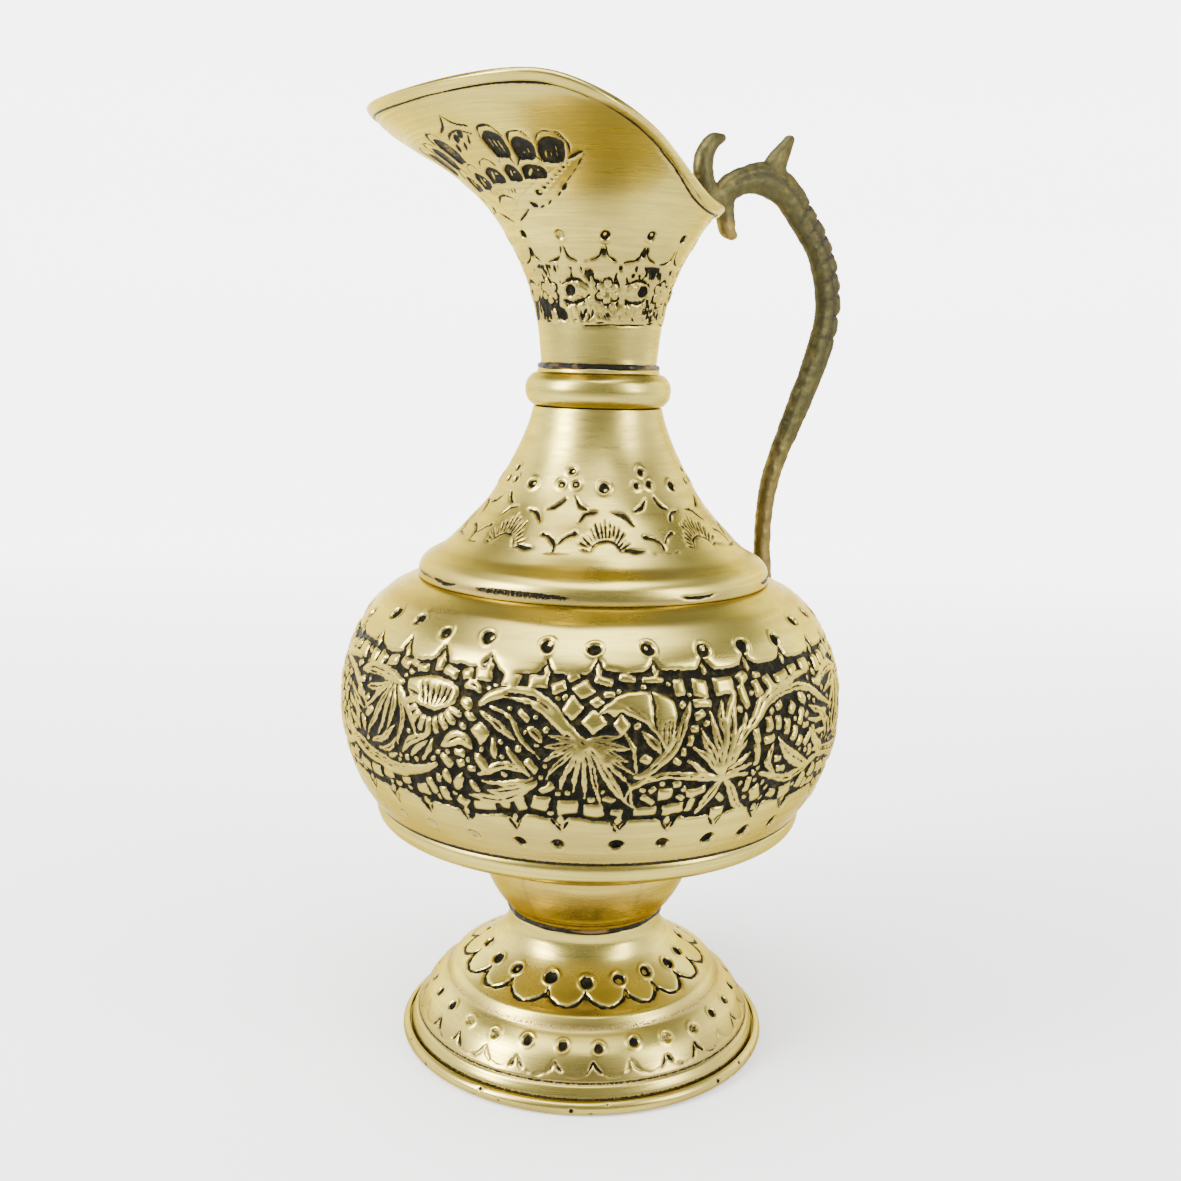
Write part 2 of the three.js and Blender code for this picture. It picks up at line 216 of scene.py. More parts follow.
def blur(field, rows, columns):
    """The field smoothed over so many cells, closed round the columns and held at the edges."""
    out = field
    for _ in range(2):
        for axis, reach in ((0, rows), (1, columns)):
            reach = int(round(reach))
            if reach < 1:
                continue
            if axis == 0:
                padded = np.pad(out, ((reach, reach), (0, 0)), mode="edge")
            else:
                padded = np.pad(out, ((0, 0), (reach, reach)), mode="wrap")
            total = np.cumsum(padded, axis=axis)
            zero = np.zeros_like(np.take(total, [0], axis=axis))
            total = np.concatenate([zero, total], axis=axis)
            width = 2 * reach + 1
            n = out.shape[axis]
            hi = np.take(total, np.arange(width, width + n), axis=axis)
            lo = np.take(total, np.arange(0, n), axis=axis)
            out = (hi - lo) / width
    return out


# ---------------------------------------------------------------- relief


def segment_gap(x, y, a, b):
    """Distance of points from the segment a-b, and how far along it their nearest point is."""
    d = b - a
    k = np.clip(((x - a[0]) * d[0] + (y - a[1]) * d[1]) / max(d @ d, 1e-9), 0, 1)
    return np.hypot(x - a[0] - k * d[0], y - a[1] - k * d[1]), k


class Relief:
    """Embossing on a surface of revolution: where bare metal stands, and how high, in mm."""

    def __init__(self, r, z, seed, wobble=0.25):
        """r and z are rows x columns; z rises with the rows."""
        self.r, self.z = r, z
        columns = r.shape[1]
        self.turn = (np.degrees(azimuths(columns) - FRONT) + 180) % 360 - 180
        path = np.stack([r, z], -1)
        step = np.linalg.norm(np.diff(path, axis=0), axis=-1)
        self.s = np.concatenate([np.zeros((1, columns)), np.cumsum(step, axis=0)])
        long = int(np.argmax(z[-1]))
        self.line = (z[:, long], r[:, long], self.s[:, long])
        self.cell = (step.mean(), r.mean() * 2 * math.pi / columns)
        self.metal = np.ones(r.shape)
        self.high = np.zeros(r.shape)
        # darkening laid over the embossing: real stains and tarnish, and painted shade in valleys
        # and under overhangs
        self.stain_and_shade = np.zeros(r.shape)
        self.warp_x = self.ripple(seed, 5.0, 5.0) * wobble
        self.warp_y = self.ripple(seed + 1, 5.0, 5.0) * wobble
        self.rag = self.ripple(seed + 2, 0.9, 0.9)
        self.shift = 0.0
        self.plump = self.swell = 1.0
        self.veined = False
        self.rng = np.random.default_rng(seed)

    def ripple(self, seed, up, around):
        """Smooth noise over the surface, its sizes in mm."""
        return ripple(*self.r.shape, seed, up / self.cell[0], around / self.cell[1])

    def flat(self, turn, z, origin):
        """A point's place on the sheet, in mm from the origin, both given as (turn, z)."""
        radius = np.interp(z, self.line[0], self.line[1])
        s = np.interp(z, self.line[0], self.line[2])
        s0 = np.interp(origin[1], self.line[0], self.line[2])
        return math.radians(turn - origin[0]) * radius, s - s0

    def band(self, z, width):
        """A soft band round the surface: 1 at the height z, fading out over the width."""
        return np.exp(-(((self.z - z) / width) ** 2))

    def window(self, origin, reach):
        """The cells within reach of the origin, and their places in mm from it."""
        away = (self.turn - (origin[0] + self.shift) + 180) % 360 - 180
        radius = np.interp(origin[1], self.line[0], self.line[1])
        nearest = max(min(radius, self.r.max()) * 0.55, 1)
        columns = np.nonzero(np.abs(np.radians(away)) * nearest < reach)[0]
        s0 = np.interp(origin[1], self.line[0], self.line[2])
        rows = np.nonzero(np.abs(self.s[:, columns].mean(1) - s0) < reach * 1.3 + 4)[0]
        area = np.ix_(rows, columns)
        x = np.radians(away[columns])[None, :] * self.r[area] + self.warp_x[area]
        y = np.interp(self.z[area], self.line[0], self.line[2]) - s0 + self.warp_y[area]
        return area, x, y

    def stroke(self, points, width, blunt=1.0):
        """Distance outside a tapering stroke through (turn, z) points, and its window."""
        origin = points[len(points) // 2]
        flat = np.array([self.flat(t, z, origin) for t, z in points])
        line = smooth_curve(flat, 5 if len(flat) > 2 else 4)
        u = lengths(line)
        u = u / u[-1]
        half = width * np.sin(math.pi * np.clip(0.04 + 0.92 * u, 0, 1)) ** (0.75 / blunt)
        area, x, y = self.window(origin, np.abs(line).max() + width + 2)
        best = np.full(x.shape, 99.0)
        for i in range(len(line) - 1):
            a, b = line[i], line[i + 1]
            gap, k = segment_gap(x, y, a, b)
            best = np.minimum(best, gap - half[i] - k * (half[i + 1] - half[i]))
        return best, area

    def patch(self, points):
        """Distance outside a closed shape through (turn, z) points, and its window."""
        origin = points[0]
        flat = np.array([self.flat(t, z, origin) for t, z in points])
        loop = smooth_curve(np.concatenate([flat, flat[:1]]), 4)
        area, x, y = self.window(origin, np.abs(loop).max() + 2)
        best = np.full(x.shape, 99.0)
        inside = np.zeros(x.shape, bool)
        for a, b in zip(loop[:-1], loop[1:]):
            best = np.minimum(best, segment_gap(x, y, a, b)[0])
            if a[1] != b[1]:
                cross = a[0] + (y - a[1]) * (b[0] - a[0]) / (b[1] - a[1])
                inside ^= ((a[1] > y) != (b[1] > y)) & (x < cross)
        return np.where(inside, -best, best), area

    def block(self, turn, z, wide, tall, tilt=0.0):
        """Distance outside a small brick, sized in mm and tilted in degrees, and its window."""
        area, x, y = self.window((turn, z), wide + tall + 2)
        c, s = math.cos(math.radians(tilt)), math.sin(math.radians(tilt))
        u, v = x * c + y * s, y * c - x * s
        qx, qy = np.abs(u) - wide / 2 + 0.5, np.abs(v) - tall / 2 + 0.5
        gap = np.hypot(np.maximum(qx, 0), np.maximum(qy, 0)) + np.minimum(np.maximum(qx, qy), 0)
        return gap - 0.5, area

    def cover(self, distance, area, soft=0.55):
        """How much of each cell a shape covers, from 0 to 1, with a slightly ragged edge."""
        k = np.clip(0.5 - (distance + 0.1 * self.rag[area]) / soft, 0, 1)
        return k * k * (3 - 2 * k)

    def stand(self, shape, rise=0.0):
        """Leaves bare metal standing where the shape is."""
        k = self.cover(*shape)
        area = shape[1]
        self.metal[area] = np.maximum(self.metal[area], k)
        self.high[area] += rise * k

    def sink(self, shape, dark=1.0, depth=0.0, soft=0.55):
        """Presses the shape in, and leaves it dark."""
        k = self.cover(shape[0], shape[1], soft)
        area = shape[1]
        self.metal[area] = np.minimum(self.metal[area], 1 - k * dark)
        self.high[area] -= depth * k

    def leaf(self, points, width, blunt=1.0):
        """A raised stroke of bare metal, with a vein if it is a long and broad one."""
        self.stand(self.stroke(points, width * self.plump, blunt))
        if self.veined and width > 0.72 and len(points) > 2:
            self.vein(points, 0.17 + 0.05 * width)

    def vein(self, points, width):
        """A thin dark line along the middle part of a leaf."""
        flat = smooth_curve(np.array(points, float), 6)
        keep = flat[len(flat) // 6: -max(len(flat) // 5, 1)]
        self.sink(self.stroke([tuple(p) for p in keep[:: max(len(keep) // 4, 1)]], width, 1.4), 0.9)

    def fill(self, low, high, sizes, pitch):
        """Small bricks wherever the dark ground between low and high is still empty."""
        for wide, tall in sizes:
            for z in np.arange(low, high, pitch):
                for turn in np.arange(-60, 60, math.degrees(pitch / 78)):
                    place = turn + self.rng.uniform(-0.5, 0.5), z + self.rng.uniform(-0.4, 0.4)
                    tilt = self.rng.choice((0, 8, -10, 28, 45, -35, 80))
                    distance, area = self.block(*place, wide, tall, tilt)
                    near = distance < 0.5
                    if near.any() and self.metal[area][near].max() < 0.22:
                        self.stand((distance, area))

    def cut(self, points, width, dark=1.0, blunt=1.4, depth=0.0):
        """A dark stroke, pressed in where it has a depth."""
        self.sink(self.stroke(points, width, blunt), dark, depth)

    def brick(self, turn, z, wide, tall, tilt=0.0):
        """A raised brick of bare metal."""
        self.stand(self.block(turn, z, wide * self.swell, tall * self.swell, tilt))

    def dot(self, turn, z, radius, dark=1.0, rim=0.25, bare=0.0, depth=0.0):
        """A punched dot: dark and sunk, with a raised rim, and bare metal left at its bottom."""
        area, x, y = self.window((turn, z), radius * 3 + 2)
        gap = np.hypot(x, y)
        self.sink((gap - radius, area), dark, depth)
        self.high[area] += rim * np.exp(-(((gap - radius - 0.55) / 0.55) ** 2))
        if bare:
            side = self.rng.uniform(-0.4, 0.4, 2) * radius
            off = np.hypot(x - side[0], y - side[1])
            k = self.cover(off - bare, area, 0.5)
            self.metal[area] = np.maximum(self.metal[area], k)

    def finish(self, depth, pillow, halo=0.3):
        """Height in mm and patina from 0 to 1, over the whole surface; the patina also carries the
        painted shade laid on the surface.
        """
        up, around = self.cell
        walls = blur(self.metal, max(1, 0.3 / up), max(1, 0.3 / around))
        slopes = blur(self.metal, 1.1 / up, 1.1 / around)
        height = -depth * (1 - walls) - pillow * (1 - slopes) + self.high
        dark = 1 - self.metal
        # brown beside the dark patina, plus the laid-on stains and painted shade
        haze_and_shade = halo * blur(dark, 1.3 / up, 1.3 / around) + self.stain_and_shade
        return height, np.maximum(dark, np.clip(haze_and_shade, 0, 0.62))


# ---------------------------------------------------------------- shells


def rounded_edge(outer, back, way):
    """Points of a round edge between the two faces of a sheet."""
    middle, half = (outer + back) / 2, (outer - back) / 2
    along = np.array([-half[1], half[0]]) * way
    turns = np.linspace(0, math.pi, 7)[1:-1]
    arc = np.array([middle + half * math.cos(t) + along * math.sin(t) * 0.8 for t in turns])
    return arc if way > 0 else arc[::-1]


def edge_fade(rows, reach):
    """A column that rises from 0 at the first and last row to 1 over so many rows."""
    count = np.arange(rows)
    return np.clip(np.minimum(count, count[::-1]) / reach, 0, 1)[:, None]


def shell(name, outer, columns, relief=None, depth=(0, 0), sheet=SHEET, step=4, seed=1, dent=0.05):
    """A sheet turned from its outer profile of (r, z) rows; its inner face takes every step-th."""
    rows = len(outer)
    r, z = surface(outer, columns)
    n = side_normals(outer)
    height = patina = np.zeros((rows, columns))
    if relief:
        height, patina = relief.finish(*depth)
    cell = lengths(outer)[-1] / (rows - 1), r.mean() * 2 * math.pi / columns
    height = height + dent * ripple(rows, columns, seed + 50, 22 / cell[0], 26 / cell[1])
    height = height * edge_fade(rows, 4)
    face = lift(r + n[:, :1] * height, z + n[:, 1:] * height, azimuths(columns))
    pick = np.unique(np.append(np.arange(0, rows, step), rows - 1))
    back = outer[pick] - n[pick] * sheet
    back[:, 0] = np.maximum(back[:, 0], 0.5)
    top = rounded_edge(outer[-1], back[-1], 1)
    section = np.concatenate([top, back[::-1], rounded_edge(outer[0], back[0], -1)])
    rest = lift(*surface(section, columns), azimuths(columns))
    dull = np.full((len(section), columns), INSIDE_PATINA)
    dull[: len(top)] = EDGE_PATINA
    return ring_mesh(name, np.concatenate([face, rest]), np.concatenate([patina, dull]))


# ---------------------------------------------------------------- belly

BELLY = [(69.1, 83.0), (71.2, 86.2), (73.9, 90.5), (78.3, 101), (80.5, 110), (80.75, 114.6),
         (79.8, 125.5), (77.9, 132.4), (75.2, 138.7), (70.5, 145.6), (64.2, 150.8), (59.6, 153.4),
         (57.6, 154.3), (56.2, 154.7), (54.0, 154.7)]
REPEAT = 120.0  # the embossed band is three casts of one long pattern


def band_edges(relief):
    """The dark ground of the embossed band, between its scalloped edges."""
    top_cusps = (-57.5, -45.5, -34.5, -21.5, -9.5, 1.5, 13.5, 25.5, 36.5, 48)
    low_cusps = (-57, -47, -36.5, -25.5, -14.5, -5.5, 6.5, 17, 28, 38, 48)
    turn = (relief.turn + 60) % REPEAT - 60

    def nearest(cusps):
        away = (turn[:, None] - np.array(cusps)[None] + 60) % REPEAT - 60
        return np.abs(away).min(1)

    top = 139.6 + 3.2 * np.exp(-nearest(top_cusps) / 1.3)
    top = top + 0.5 * np.sin(np.radians(relief.turn * 3))
    low = 99.2 - 3.0 * np.exp(-nearest(low_cusps) / 1.0) - 0.3 * np.sin(np.radians(relief.turn * 9))
    z = relief.z + relief.warp_y
    inside = np.minimum(top[None] - z, z - low[None]) + 0.12 * relief.rag
    k = np.clip(0.5 + inside / 0.55, 0, 1)
    relief.metal = 1 - k * k * (3 - 2 * k)
    return top_cusps, low_cusps


def brick_rows(relief):
    """The bricks along the upper and the lower edge of the band: turn, z, size and tilt."""
    for turn, z, wide, tall, tilt in (
        (-57.5, 136.3, 3.6, 3.0, 80), (-53.5, 136.8, 3.0, 3.0, 75), (-49.3, 137.2, 3.4, 2.6, 10),
        (-44.8, 137.6, 3.6, 2.4, -12), (-41.5, 138.0, 2.2, 1.4, -10), (-38.8, 137.2, 3.2, 2.0, 8),
        (-34.8, 138.7, 2.2, 3.0, 10), (-31.0, 137.2, 4.4, 2.0, -16), (-26.5, 137.0, 2.6, 2.2, 10),
        (-22.8, 137.6, 3.4, 3.2, 8), (-16.6, 137.6, 3.8, 3.0, -6), (-11.2, 137.6, 4.0, 2.8, 4),
        (-6.6, 136.6, 3.4, 2.4, 14), (-3.6, 139.0, 2.4, 1.4, 30), (-1.3, 136.0, 3.6, 3.4, 42),
        (2.6, 138.5, 4.2, 1.5, -14), (7.6, 138.6, 3.2, 1.3, -6), (12.6, 138.4, 4.6, 1.3, -4),
        (18.2, 135.6, 3.0, 3.4, 0), (23.6, 135.9, 3.8, 3.8, -4), (29.0, 136.0, 4.2, 3.8, 0),
        (34.0, 137.4, 3.4, 2.6, 28), (33.6, 132.6, 2.0, 5.0, 22), (37.8, 134.0, 2.2, 3.6, 16),
        (41.4, 134.8, 2.4, 3.0, 18), (45.8, 136.2, 4.4, 1.9, 12), (50.6, 136.8, 3.4, 1.9, 4),
        (56.0, 136.6, 4.2, 3.2, 0), (23.4, 131.6, 4.6, 2.0, 6),
        (-58.0, 103.4, 4.4, 2.4, -14), (-52.6, 103.0, 4.0, 2.4, -4), (-47.4, 103.2, 3.6, 2.2, 4),
        (-41.8, 103.0, 3.0, 2.0, 10), (-36.6, 102.0, 3.6, 2.2, 6), (-33.6, 104.0, 2.2, 3.6, 28),
        (-30.2, 102.6, 2.2, 3.4, 20), (-26.0, 101.8, 2.8, 2.2, -30), (-21.4, 101.6, 4.6, 2.2, 4),
        (-16.8, 103.6, 2.2, 3.2, -10), (-13.2, 103.0, 2.4, 3.4, 24), (-9.4, 103.8, 3.2, 3.8, -12),
        (-4.0, 102.5, 4.6, 3.6, 4), (1.3, 102.2, 4.0, 3.2, 8), (5.8, 101.2, 2.6, 1.6, -12),
        (11.6, 101.5, 5.0, 2.4, 2), (17.6, 101.7, 4.8, 2.6, 6), (15.4, 106.7, 3.4, 2.8, 0),
        (22.2, 107.1, 5.0, 2.2, 8), (28.2, 99.8, 3.2, 1.8, 0), (37.0, 103.4, 2.6, 3.4, 26),
        (42.4, 101.5, 3.0, 2.4, -20), (47.4, 101.6, 4.0, 3.4, 14), (53.0, 103.0, 2.4, 4.0, -24),
        (57.4, 105.0, 2.2, 3.6, -30),
    ):
        relief.brick(turn, z, wide, tall, tilt)


def drooping_palm(relief):
    """The palm whose fingers hang down to the left, and the shell beside it."""
    leaf, cut = relief.leaf, relief.cut
    leaf([(-61, 131.2), (-55, 133.3), (-49, 133.2), (-43.5, 131.6)], 1.7, 1.6)
    cut([(-58.5, 131.4), (-54, 132.0), (-51, 132.2)], 0.22)
    leaf([(-47, 131.4), (-51, 129.0), (-57, 127.6)], 0.75)
    leaf([(-47, 131), (-52.5, 125.5), (-56.5, 121)], 0.6)
    leaf([(-46.5, 131), (-50.5, 123), (-54, 113.5)], 0.85)
    leaf([(-46, 130.5), (-48, 122), (-50.5, 114.5)], 0.7)
    leaf([(-45.5, 130.5), (-45.6, 122), (-47.3, 117)], 0.75)
    leaf([(-44.6, 131), (-42.4, 122), (-43, 114.5)], 0.8)
    leaf([(-44.2, 131), (-40.5, 124.5), (-37.8, 118.8)], 0.9)
    leaf([(-52.5, 111.6), (-48.3, 114.6), (-44.6, 118.8)], 0.85)
    leaf([(-50, 110.4), (-46, 112.6), (-43.4, 116.2)], 0.8)
    leaf([(-47, 109.6), (-43.2, 111.6)], 0.7)
    leaf([(-62.5, 124.5), (-59.6, 120.5), (-58, 113.5)], 1.05)
    leaf([(-57, 118.8), (-55.6, 116.2), (-55.4, 113.6)], 0.9)
    leaf([(-66, 118.5), (-62.5, 112.2), (-56, 108.6), (-48, 106.7), (-41, 106.8), (-36, 108.5),
          (-32.3, 111)], 1.8, 1.5)
    cut([(-60.5, 111.6), (-55, 109.2), (-48, 107.8), (-40.5, 107.8)], 0.2)
    leaf([(-41.2, 112.8), (-38.6, 117.0), (-34.4, 119.6)], 1.1)
    leaf([(-38.6, 112.0), (-36.6, 115.6), (-34.6, 118.0)], 0.7)
    leaf([(-35.6, 111.6), (-33.9, 116.0), (-33.4, 119.0)], 0.6)
    shell = relief.patch([(-42, 133.2), (-38, 134.8), (-30.5, 134.9), (-28.1, 133), (-28.4, 129.6),
                          (-31, 126.7), (-35, 126.3), (-38.5, 127.6), (-41.4, 130)])
    relief.stand(shell, 0.15)
    for turn in (-37.6, -36.0, -34.3, -32.6, -31.0, -29.6):
        cut([(turn, 133.4), (turn * 0.78 - 7.5, 130), (turn * 0.62 - 12.9, 127.4)], 0.42)
    cut([(-41, 130.4), (-39, 130.0), (-37.8, 130.2)], 0.4)
    for step in range(9):
        a = math.radians(196 + 18 * step)
        place = -34.2 + 6.6 * math.cos(a), 129.6 + 7.6 * math.sin(a)
        relief.brick(*place, 1.5, 3.4, math.degrees(a) - 90)
    leaf([(-26.8, 134.0), (-24.6, 134.4), (-23.0, 132.8)], 1.0)
    leaf([(-26.8, 131.0), (-24.6, 129.2)], 1.3)
    leaf([(-25.6, 127.4), (-23.4, 126.2)], 1.0)


def fish_leaf(relief):
    """The hooked leaf round a dark lens, and the tangle under it."""
    leaf, cut = relief.leaf, relief.cut
    leaf([(-22.5, 130.3), (-18.5, 133.2), (-12.5, 133.6), (-8, 130.6), (-5, 126.8), (-2, 123.4)],
         1.75, 1.5)
    cut([(-17.5, 132.6), (-14.5, 133.4), (-10.8, 133.2)], 0.5)
    cut([(-12.6, 131.3), (-11.4, 131.0)], 0.4)
    cut([(-20.8, 130.0), (-17.6, 130.5)], 0.35)
    leaf([(-22.4, 128.6), (-18.6, 125.2), (-14.6, 122.0)], 0.8)
    leaf([(-20.6, 129.6), (-16.2, 127.2), (-13.4, 122.4), (-9.4, 116.4)], 0.5)
    leaf([(-11.6, 124.8), (-9.4, 123.2), (-9.0, 121.2)], 1.15)
    relief.brick(-22.3, 122.2, 3.9, 3.9, 44)
    leaf([(-31, 117.2), (-26.8, 119.8), (-24.4, 117.6)], 1.5)
    relief.brick(-26.6, 113.0, 1.8, 1.7, 20)
    leaf([(-29.8, 110.8), (-28.8, 106.6)], 0.95)
    leaf([(-23.2, 116.4), (-19.6, 112.2)], 1.4)
    leaf([(-26.6, 109.8), (-27.6, 105.2)], 1.0)
    leaf([(-19.4, 121.4), (-18.2, 115.6)], 0.9)
    leaf([(-16.0, 119.6), (-13.6, 114.6), (-11.4, 112.0)], 0.85)
    leaf([(-22.4, 110.6), (-16.6, 113.6), (-12.4, 113.0)], 1.0)
    leaf([(-21.6, 108.6), (-15.4, 109.0), (-10.6, 111.4)], 0.6)
    leaf([(-20.6, 106.2), (-15.4, 107.0), (-9.6, 110.8)], 0.8)
    leaf([(-25.0, 104.2), (-19.6, 104.2), (-14.2, 106.0), (-9.6, 110.4)], 1.05)
    leaf([(-24.6, 108.0), (-22.8, 105.8)], 0.8)


def hanging_palm(relief):
    """The palm that hangs between lattice and leaf."""
    base = (-1, 122.3)
    for tip_turn, tip_z, width, bow in (
        (-7.4, 123.6, 0.8, 0.4), (-8.8, 120.0, 0.75, 0.8), (-8.6, 116.0, 0.85, 1.0),
        (-7.4, 111.4, 0.8, 0.8), (-5.2, 108.4, 0.7, 0.4), (-3.2, 106.6, 0.6, 0.2),
        (-0.8, 105.6, 0.65, 0.1), (2.6, 104.6, 0.8, 0.0), (7.4, 104.6, 1.25, -0.4),
        (8.6, 109.2, 0.7, -0.8), (9.2, 113.4, 0.8, -0.9), (8.6, 117.2, 0.75, -0.7),
        (8.0, 121.2, 0.95, -0.5), (6.2, 124.6, 0.75, -0.2),
    ):
        middle = ((base[0] + tip_turn) / 2 - bow, (base[1] + tip_z) / 2)
        relief.leaf([base, middle, (tip_turn, tip_z)], width, 1.1)
    relief.leaf([(-1.6, 123.4), (-0.9, 121.6), (0.4, 120.4)], 1.3)
    for turn, z, size in ((-3.4, 131.2, 3.6), (0.9, 127.6, 3.9), (4.8, 130.6, 2.4),
                          (-6.6, 128.6, 2.6), (6.4, 127.2, 2.8), (-4.6, 126.0, 2.6),
                          (1.4, 133.0, 2.2)):
        relief.brick(turn, z, size, size, 45)


def smooth_leaf(relief):
    """The broad smooth leaf, with the thin one that rises beside it."""
    leaf, cut = relief.leaf, relief.cut
    blade = relief.patch([(1.6, 129.4), (4.6, 133.4), (8.6, 135.4), (13, 135.1), (16, 132.2),
                          (17.1, 128.6), (16.4, 122.4), (15.2, 119.2), (13.2, 123.2), (10.8, 127.6),
                          (7.6, 129.6), (4.2, 130.2)])
    relief.stand(blade, 0.25)
    cut([(12, 135.4), (12.4, 129.6), (13.4, 124)], 0.28)
    cut([(15.6, 127.6), (15.4, 121)], 0.3)
    cut([(14.6, 127.2), (14.4, 122)], 0.26)
    cut([(16.4, 127.4), (16.2, 123.2)], 0.22)
    cut([(5.4, 133.2), (10.4, 129.2), (13.2, 124.4)], 0.16, 0.7)
    leaf([(10.4, 125.2), (12.6, 121.6), (14.2, 118.4)], 0.95)
    leaf([(6.8, 125.6), (8.8, 120.6), (9.6, 116.2), (9.8, 112.6)], 0.4)
    leaf([(9.6, 112.4), (13.2, 115.2), (16.4, 119.2), (18.2, 124), (20.4, 131.4)], 1.35, 1.3)
    cut([(18.0, 121.6), (19.4, 128.8)], 0.28)
    cut([(16.9, 122.4), (18.4, 127.6)], 0.22)
    cut([(10.4, 112.7), (14.6, 116.2)], 0.2)
    leaf([(8.4, 108.8), (11, 111.2), (15, 112.2), (21, 111.9), (25, 111), (28, 109.9),
          (34.2, 110.4)], 0.9, 2)
    leaf([(8.4, 108.8), (7.8, 105.4), (9.2, 102.6)], 0.8)


def rising_palm(relief):
    """The palm that stands on two legs, and the arch that springs from it."""
    leaf, cut = relief.leaf, relief.cut
    leaf([(28, 110), (28.8, 118), (29.4, 126), (31, 133.6)], 1.8, 1.4)
    cut([(29.2, 119), (29.8, 126), (30.6, 131)], 0.2)
    leaf([(28.4, 113), (26, 122), (25, 129.2)], 0.9)
    leaf([(28.7, 121), (27.2, 127), (28, 132.4)], 0.8)
    leaf([(28, 111.6), (25, 118), (22.8, 125.2)], 0.85)
    leaf([(28, 111), (24.6, 115.8), (21.4, 119.8)], 0.8)
    leaf([(27, 110.8), (22.6, 113.2), (20, 116.2)], 0.7)
    leaf([(29.2, 115), (31.6, 122), (33.4, 128)], 0.8)
    leaf([(29.2, 112.8), (31.6, 117), (34, 120)], 0.65)
    leaf([(29.2, 111.8), (32.2, 114.4), (34.6, 116.6)], 0.6)
    leaf([(29.2, 111), (32.4, 112.2), (35, 113.6)], 0.6)
    leaf([(28, 109.6), (25.6, 105.2), (23.2, 100.2)], 1.15)
    leaf([(28.2, 109.6), (30.6, 105.4), (32.8, 101), (35.4, 98.6)], 1.15)
    leaf([(30.4, 116.4), (33, 122.2), (36, 127.6), (41, 131.7), (48, 134.2), (56, 134.4)], 1.1, 2)
    leaf([(34.6, 124), (39.6, 129), (46, 131.6), (53, 130.6), (60, 126.8), (65.4, 121.4)], 0.95, 2)
    cut([(49, 133.0), (53, 133.2), (56, 132.6)], 0.35)
    for turn, z, wide, tall, tilt in (
        (36.2, 121.2, 1.8, 3.4, 10), (39.6, 123.6, 2.2, 3.6, 4), (42.6, 123.4, 2.0, 3.4, -4),
        (45.4, 121.8, 2.0, 3.6, -14), (47.8, 119.2, 2.0, 3.2, -26), (49.8, 116.2, 1.8, 2.8, -30),
        (36.2, 115.6, 1.8, 4.4, 6), (50.4, 123.6, 1.8, 4.2, -20), (53.8, 112.4, 1.6, 2.8, 0),
        (47.6, 126.6, 2.2, 2.4, -30), (51.4, 128.0, 2.6, 1.8, -30),
    ):
        relief.brick(turn, z, wide, tall, tilt)
    leaf([(42.6, 118.8), (45.4, 114.4), (49.6, 110), (54, 108)], 1.6)
    leaf([(40.6, 117.8), (39.4, 112.4), (41.2, 108.4)], 0.9)
    leaf([(37.6, 109), (43, 106.7), (48.4, 106.2), (54, 107.8), (59.6, 110.8)], 1.15, 1.6)
    leaf([(54, 125.8), (58, 123.4), (63, 120.8)], 0.75)
    leaf([(53.6, 122.2), (57.8, 120.4), (62.4, 119.0)], 0.7)
    leaf([(56, 117.4), (59.6, 116.0), (62.2, 116.4)], 0.65)
    leaf([(57, 113.6), (60, 112.0)], 0.8)


def band_borders(relief, top_cusps, low_cusps):
    """The cusps along the band's edges, and the punched dots above and below it."""
    leaf, cut = relief.leaf, relief.cut
    for turn in top_cusps:
        leaf([(turn, 139.0), (turn - 0.1, 142.4)], 0.8, 0.8)
        cut([(turn - 0.2, 143.6), (turn + 0.6, 141.2), (turn + 1.6, 139.6)], 0.5)
        cut([(turn - 0.4, 142.6), (turn - 1.8, 140.4)], 0.3)
    for turn in low_cusps:
        leaf([(turn, 99.6), (turn, 97.6)], 0.75, 0.8)
        cut([(turn - 1.8, 98.8), (turn + 0.2, 95.0)], 0.45)
        cut([(turn + 1.9, 98.8), (turn + 0.5, 95.6)], 0.25)
    tops = (-58.5, -47, -36, -24.5, -10, 0.5, 13, 26, 37, 48)
    bare = (0, 0.8, 0.5, 0.7, 0.7, 0, 0.5, 0.7, 0, 0)
    for i, turn in enumerate(tops):
        height = 147.7 - 0.028 * (turn + 60) + 0.6 * math.sin(2.3 * i)
        relief.dot(turn, height, 1.95, 1.0, 0.32, bare[i])
    for turn, dark in ((-57, 0.35), (-47, 0.4), (-37, 0.3), (-25, 0.4), (-14.5, 0.85), (-6, 0.6),
                       (6.5, 1), (16.5, 0.8), (27.5, 1), (37.5, 1), (47, 1)):
        relief.dot(turn, 91.0, 1.35 + 0.5 * dark, dark, 0.25, 0, 0.35)


